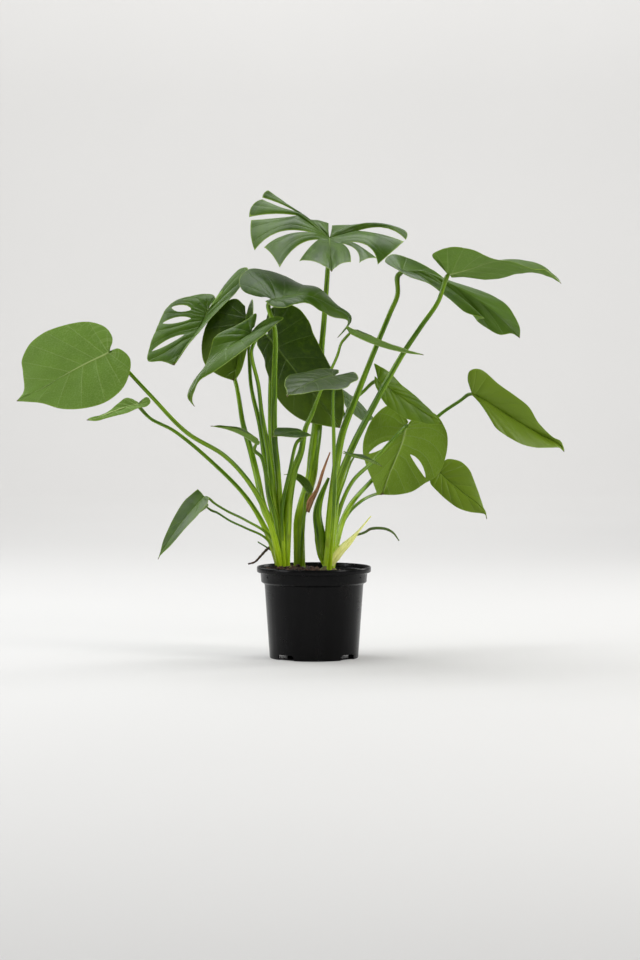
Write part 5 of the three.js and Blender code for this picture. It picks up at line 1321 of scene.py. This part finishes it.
def add_loose_pieces(root, yellow, dry, wilted):
    """An old root, a yellowed sheath with its dried tip, and a papery brown sheath."""
    thin = tapered(AERIAL_ROOT["radius"])

    def knobbly(t, reach):
        return thin(t, reach) * (1 + 0.12 * np.sin(reach * 0.9) + 0.08 * np.sin(reach * 2.3 + 1))

    points, faces, facts = loft(AERIAL_ROOT["path"], knobbly, (0, 0, 1), spacing=1.5, sides=12)
    dress(piece_from("old_root", points, faces, root, {"grain": facts["grain"]}), "root", "aerial_root")
    for label, row, finish, slot, node, flatness in (
            ("yellowed_sheath", YELLOW_SHEATH, yellow, "sheath", "yellow_sheath", 0.5),
            ("dried_tip", DRY_STRIP, wilted, "dry", "dry_strip", 0.45),
            ("papery_sheath", BROWN_SHEATH, dry, "dry", "brown_sheath", 0.4)):
        points, faces, facts = loft(row["path"], tapered(row["radius"]), (0, 0, 1), spacing=2, sides=20,
                                    shape=flattened(flatness))
        dress(piece_from(label, points, faces, finish, {"grain": facts["grain"]}), slot, node)


# Pot

def turned_pot():
    """The wall of the pot drawn up from its base ring by ring, over the lip and down inside."""
    deselect()
    bpy.ops.mesh.primitive_circle_add(vertices=POT_SIDES, radius=BASE_RADIUS * MM, fill_type="NGON")
    pot = bpy.context.object
    pot.name = pot.data.name = "nursery_pot"
    lip = RIM_RADIUS
    profile = [
        (BASE_RADIUS + 0.5, 1.0),
        (BODY_TOP_RADIUS - 0.5, STEP_BOTTOM - 2),
        (BODY_TOP_RADIUS, STEP_BOTTOM),
        (BODY_TOP_RADIUS + 0.6, STEP_BOTTOM + 0.5),
        (COLLAR_RADIUS - COLLAR_TAPER - 0.8, STEP_TOP - 0.6),
        (COLLAR_RADIUS - COLLAR_TAPER, STEP_TOP + 0.3),
        (COLLAR_RADIUS - 0.1, LIP_BOTTOM - 0.6),
        (COLLAR_RADIUS + 0.3, LIP_BOTTOM),
        (lip - 3.2, LIP_BOTTOM),
        (lip - 1.6, LIP_BOTTOM + 0.2),
        (lip - 0.4, LIP_BOTTOM + 1.0),
        (lip, LIP_BOTTOM + 2.4),
        (lip, POT_HEIGHT - 2.2),
        (lip - 0.3, POT_HEIGHT - 0.9),
        (lip - 0.9, POT_HEIGHT - 0.2),
        (lip - 1.5, POT_HEIGHT),
        (lip - 2.1, POT_HEIGHT - 0.3),
        (lip - 2.5, POT_HEIGHT - 1.2),
        (lip - 2.6, LIP_BOTTOM + WALL + 1),
        (lip - 3.2, LIP_BOTTOM + WALL + 0.2),
        (COLLAR_RADIUS - WALL, LIP_BOTTOM + WALL),
        (COLLAR_RADIUS - COLLAR_TAPER - WALL, STEP_TOP + 1),
        (BODY_TOP_RADIUS - WALL, STEP_BOTTOM + 1),
        (BASE_RADIUS - WALL, FLOOR),
    ]
    bpy.ops.object.mode_set(mode="EDIT")
    bpy.ops.mesh.select_all(action="SELECT")
    radius, height = BASE_RADIUS, 0
    for next_radius, next_height in profile:
        rise = (0, 0, (next_height - height) * MM)
        bpy.ops.mesh.extrude_region_move(TRANSFORM_OT_translate={"value": rise})
        scale = next_radius / radius
        bpy.ops.transform.resize(value=(scale, scale, 1), center_override=(0, 0, next_height * MM))
        radius, height = next_radius, next_height
    bpy.ops.object.mode_set(mode="OBJECT")
    return pot


def make_active(piece):
    deselect()
    bpy.context.view_layer.objects.active = piece
    piece.select_set(True)


def cut_away(piece, cutter):
    """Cuts the shape of one object out of another, and removes the cutter."""
    cut = piece.modifiers.new("Cut", "BOOLEAN")
    cut.operation = "DIFFERENCE"
    cut.solver = "EXACT"
    cut.object = cutter
    make_active(piece)
    bpy.ops.object.modifier_apply(modifier=cut.name)
    bpy.data.objects.remove(cutter)


def round_about(radius, angle, height=0):
    """A place in metres at an angle round the pot, given in millimetres."""
    return radius * MM * math.cos(angle), radius * MM * math.sin(angle), height * MM


def arch_cutter(angle):
    """A drainage arch: a block with its two upper corners taken off."""
    deselect()
    bpy.ops.mesh.primitive_cube_add(size=1, location=(0, 0, 0))
    block = bpy.context.object
    size = (ARCH_DEPTH * MM, ARCH_WIDTH * MM, 2 * ARCH_HEIGHT * MM)
    bpy.ops.object.mode_set(mode="EDIT")
    bpy.ops.mesh.select_all(action="SELECT")
    bpy.ops.transform.resize(value=size, center_override=(0, 0, 0))
    bpy.ops.object.mode_set(mode="OBJECT")
    bevel = block.modifiers.new("Corners", "BEVEL")
    bevel.width = ARCH_CORNER * MM
    bevel.segments = 2
    bevel.limit_method = "WEIGHT"
    weights = block.data.attributes.new("bevel_weight_edge", "FLOAT", "EDGE")
    for n, edge in enumerate(block.data.edges):
        ends = [block.data.vertices[v].co for v in edge.vertices]
        weights.data[n].value = 1.0 if all(end.z > 0 for end in ends) and ends[0].y == ends[1].y else 0.0
    bpy.ops.object.modifier_apply(modifier=bevel.name)
    turn = math.radians(angle)
    block.rotation_euler = (0, 0, turn)
    block.location = round_about(ARCH_RADIUS, turn)
    return block


def hole_cutter(angle):
    deselect()
    turn = math.radians(angle)
    bpy.ops.mesh.primitive_cylinder_add(
        vertices=16, radius=COLLAR_HOLE_RADIUS * MM, depth=COLLAR_HOLE_DEPTH * MM,
        rotation=(0, math.pi / 2, turn), location=round_about(COLLAR_RADIUS, turn, COLLAR_HOLE_HEIGHT))
    return bpy.context.object


def add_pot(finish):
    pot = turned_pot()
    for angle in ARCH_ANGLES:
        cut_away(pot, arch_cutter(angle))
    for angle in COLLAR_HOLE_ANGLES:
        cut_away(pot, hole_cutter(angle))
    make_active(pot)
    bpy.ops.object.shade_smooth_by_angle(angle=math.radians(32))
    pot.data.materials.clear()
    pot.data.materials.append(finish)
    dress(pot, "pot", "pot")


# Soil

def soil_height(x, y):
    """Mounded on the left, lower on the right, with soft lumps."""
    t = np.clip((-x + 50) / 90, 0, 1)
    left = t * t * (3 - 2 * t)
    edge = np.hypot(x, y) / COLLAR_RADIUS
    lumps = np.sin(x * 0.13 + 1) * np.cos(y * 0.16) + 0.7 * np.sin(x * 0.29 - y * 0.22)
    return SOIL_LEVEL - 3 + SOIL_MOUND * left * (1.2 - edge ** 2 * 0.6) + 1.1 * lumps


def rough(x, y):
    """Small heaps and hollows of loose bark."""
    value = np.zeros_like(x)
    for k, (size, depth) in enumerate(((9, 1.0), (5.3, 0.8), (3.1, 0.55), (1.9, 0.35))):
        turn = 0.7 + 1.9 * k
        u = (x * math.cos(turn) + y * math.sin(turn)) * 2 * math.pi / size
        v = (y * math.cos(turn) - x * math.sin(turn)) * 2 * math.pi / (size * 1.2)
        value = value + depth * np.sin(u + 1.3 * np.sin(v * 0.7)) * np.cos(v + 0.9 * np.sin(u * 0.6 + k))
    return value


def ground(x, y):
    return soil_height(x, y) + rough(x, y) * 0.9


def add_mound(finish):
    """The soil: a rough top inside the collar, closed below."""
    turn = 2 * math.pi * np.arange(SOIL_SIDES) / SOIL_SIDES
    share = np.linspace(0, 1, SOIL_RINGS + 1)[1:, None]
    x, y = SOIL_RADIUS * share * np.cos(turn), SOIL_RADIUS * share * np.sin(turn)
    z = ground(x, y)
    z[-1] = z[-1] - 1.0
    top = np.stack([x, y, z], -1).reshape(-1, 3)
    low = np.stack([x[-1] * 0.985, y[-1] * 0.985, np.full(SOIL_SIDES, SOIL_FOOT)], -1)
    points = np.concatenate([top, low, [[0, 0, float(soil_height(0.0, 0.0))], [0, 0, SOIL_FOOT]]])
    heart, foot, last = len(points) - 2, len(points) - 1, SOIL_RINGS * SOIL_SIDES
    faces = ring_faces(SOIL_RINGS + 1, SOIL_SIDES, inward=True)
    for j in range(SOIL_SIDES):
        k = (j + 1) % SOIL_SIDES
        faces += [(heart, j, k), (foot, last + k, last + j)]
    dress(piece_from("soil_top", points, faces, finish, sharp=80), "soil", "soil")


def ball():
    """The points and faces of a small round ball."""
    deselect()
    bpy.ops.mesh.primitive_ico_sphere_add(subdivisions=2, radius=1)
    made = bpy.context.object
    points = np.array([v.co[:] for v in made.data.vertices])
    faces = [tuple(p.vertices) for p in made.data.polygons]
    bpy.data.objects.remove(made)
    return points, faces


def crumb_place(heaped):
    """Where a crumb lies: anywhere on the soil, or in the heap at the front left."""
    if heaped:
        angle = math.radians(rng.uniform(*HEAP_ANGLES))
        reach = rng.uniform(*HEAP_REACH)
    else:
        angle = rng.uniform(0, 2 * math.pi)
        reach = (SOIL_RADIUS - 2.5) * math.sqrt(rng.uniform(0.02, 1))
    return reach * math.cos(angle), reach * math.sin(angle)


def crumb_points(points, size):
    """A ball squashed and turned into a bit of bark."""
    form = points * size * rng.uniform((0.8, 0.5, 0.35), (1.5, 1.0, 0.8))
    form = form * (1 + 0.28 * np.sin(points @ rng.uniform(-4, 4, 3) + rng.uniform(0, 6)))[:, None]
    spin, pitch = rng.uniform(0, 2 * math.pi), rng.uniform(-0.6, 0.6)
    x, y, z = form.T
    x, z = x * math.cos(pitch) - z * math.sin(pitch), x * math.sin(pitch) + z * math.cos(pitch)
    x, y = x * math.cos(spin) - y * math.sin(spin), x * math.sin(spin) + y * math.cos(spin)
    return np.stack([x, y, z], -1)


def add_crumbs(finish):
    """Loose bits of bark, scattered and heaped."""
    points, faces = ball()
    all_points, all_faces = [], []
    for n in range(CRUMBS + HEAPED):
        heaped = n >= CRUMBS
        x, y = crumb_place(heaped)
        size = rng.choice(CRUMB_SIZES, p=CRUMB_SHARES)
        crumb = crumb_points(points, size)
        z = float(ground(x, y)) + 0.3 * size
        if heaped:
            z += rng.uniform(0, HEAP_RISE)
        all_faces += [tuple(v + len(points) * n for v in face) for face in faces]
        all_points.append(crumb + np.array([x, y, z]))
    dress(piece_from("bark_crumbs", np.concatenate(all_points), all_faces, finish, sharp=40), "soil")


def add_backdrop():
    """A round pale floor that sweeps up into a wall on every side."""
    bends = np.radians(np.linspace(6, 90, 15))
    line = [(600, 0), (FLOOR_REACH, 0)]
    line += [(FLOOR_REACH + SWEEP * math.sin(t), SWEEP - SWEEP * math.cos(t)) for t in bends]
    line.append((FLOOR_REACH + SWEEP, WALL_HEIGHT))
    turn = 2 * math.pi * np.arange(BACKDROP_SIDES) / BACKDROP_SIDES
    points = [(r * math.cos(t), r * math.sin(t), z) for r, z in line for t in turn]
    faces = [list(range(BACKDROP_SIDES)), *ring_faces(len(line), BACKDROP_SIDES, inward=True)]
    floor = piece_from("backdrop", points, faces, backdrop_finish())


def leaf_settings(leaf):
    """Natural variation of each blade, by its number and width, with painted light and shade on the listed
    blades.
    """
    number = int(leaf["name"][-2:])
    width = sum(leaf["half"])
    for least, columns, veins, swell, wave in BLADE_SIZES:
        if width > least:
            leaf.update(columns=columns, veins=veins, swell=swell, wave=wave)
            break
    leaf["small"] = width < SMALL_BLADE
    leaf["rib"] = min(1.0, 0.4 + width / 220)
    leaf["waves"] = 2.2 + 0.37 * (number % 5)
    leaf["phase"] = (number * 0.618) % 1
    # Painted light and shade for the blades in the table, a random tone for the rest
    leaf["tone"] = PAINTED_LIGHT_TONES.get(leaf["name"], (0.2 * math.sin(number * 2.4), 0.1, 0))
    return leaf


leaves = [leaf_settings(prepare(row)) for row in LEAVES]
add_camera()
add_lights()
add_backdrop()

# The common green; a darker copy of it for blades with painted shade; a lighter young green, partly painted
# light
finishes = dict(
    leaf=blade_finish("Leaf green", (0.056, 0.120, 0.0015), (0.022, 0.058, 0.0004), (0.14, 0.26, 0.03),
                      (0.24, 0.42, 0.01), 0.16),
    leaf_dark=blade_finish("Leaf green with painted shade", (0.060, 0.108, 0.001), (0.018, 0.042, 0.0002),
                           (0.11, 0.19, 0.02), (0.22, 0.36, 0.01), 0.14),
    leaf_light=blade_finish("Leaf young green, partly painted light", (0.130, 0.225, 0.003), (0.075, 0.150, 0.001),
                            (0.19, 0.31, 0.02), (0.38, 0.52, 0.01), 0.28),
)
for leaf in leaves:
    slot = BLADE_SLOTS.get(leaf["name"], "leaf")
    add_blade(leaf, finishes[slot], slot)
add_stems(leaves, stalk_finish(), crown_finish())
add_loose_pieces(
    fibre_finish("Old root", (0.035, 0.018, 0.010), (0.12, 0.06, 0.03), 0.65),
    fibre_finish("Yellowed sheath", (0.74, 0.76, 0.15), (0.93, 0.93, 0.42), 0.4, (0.56, 0.50, 0.08)),
    fibre_finish("Dry sheath", (0.24, 0.085, 0.03), (0.56, 0.29, 0.13), 0.55),
    fibre_finish("Wilted tip", (0.035, 0.075, 0.008), (0.10, 0.17, 0.02), 0.45, (0.10, 0.05, 0.02)))
add_pot(pot_finish())
add_mound(soil_finish("Damp soil", (0.030, 0.012, 0.007), (0.095, 0.040, 0.022)))
add_crumbs(soil_finish("Bark", (0.050, 0.020, 0.011), (0.160, 0.070, 0.038)))
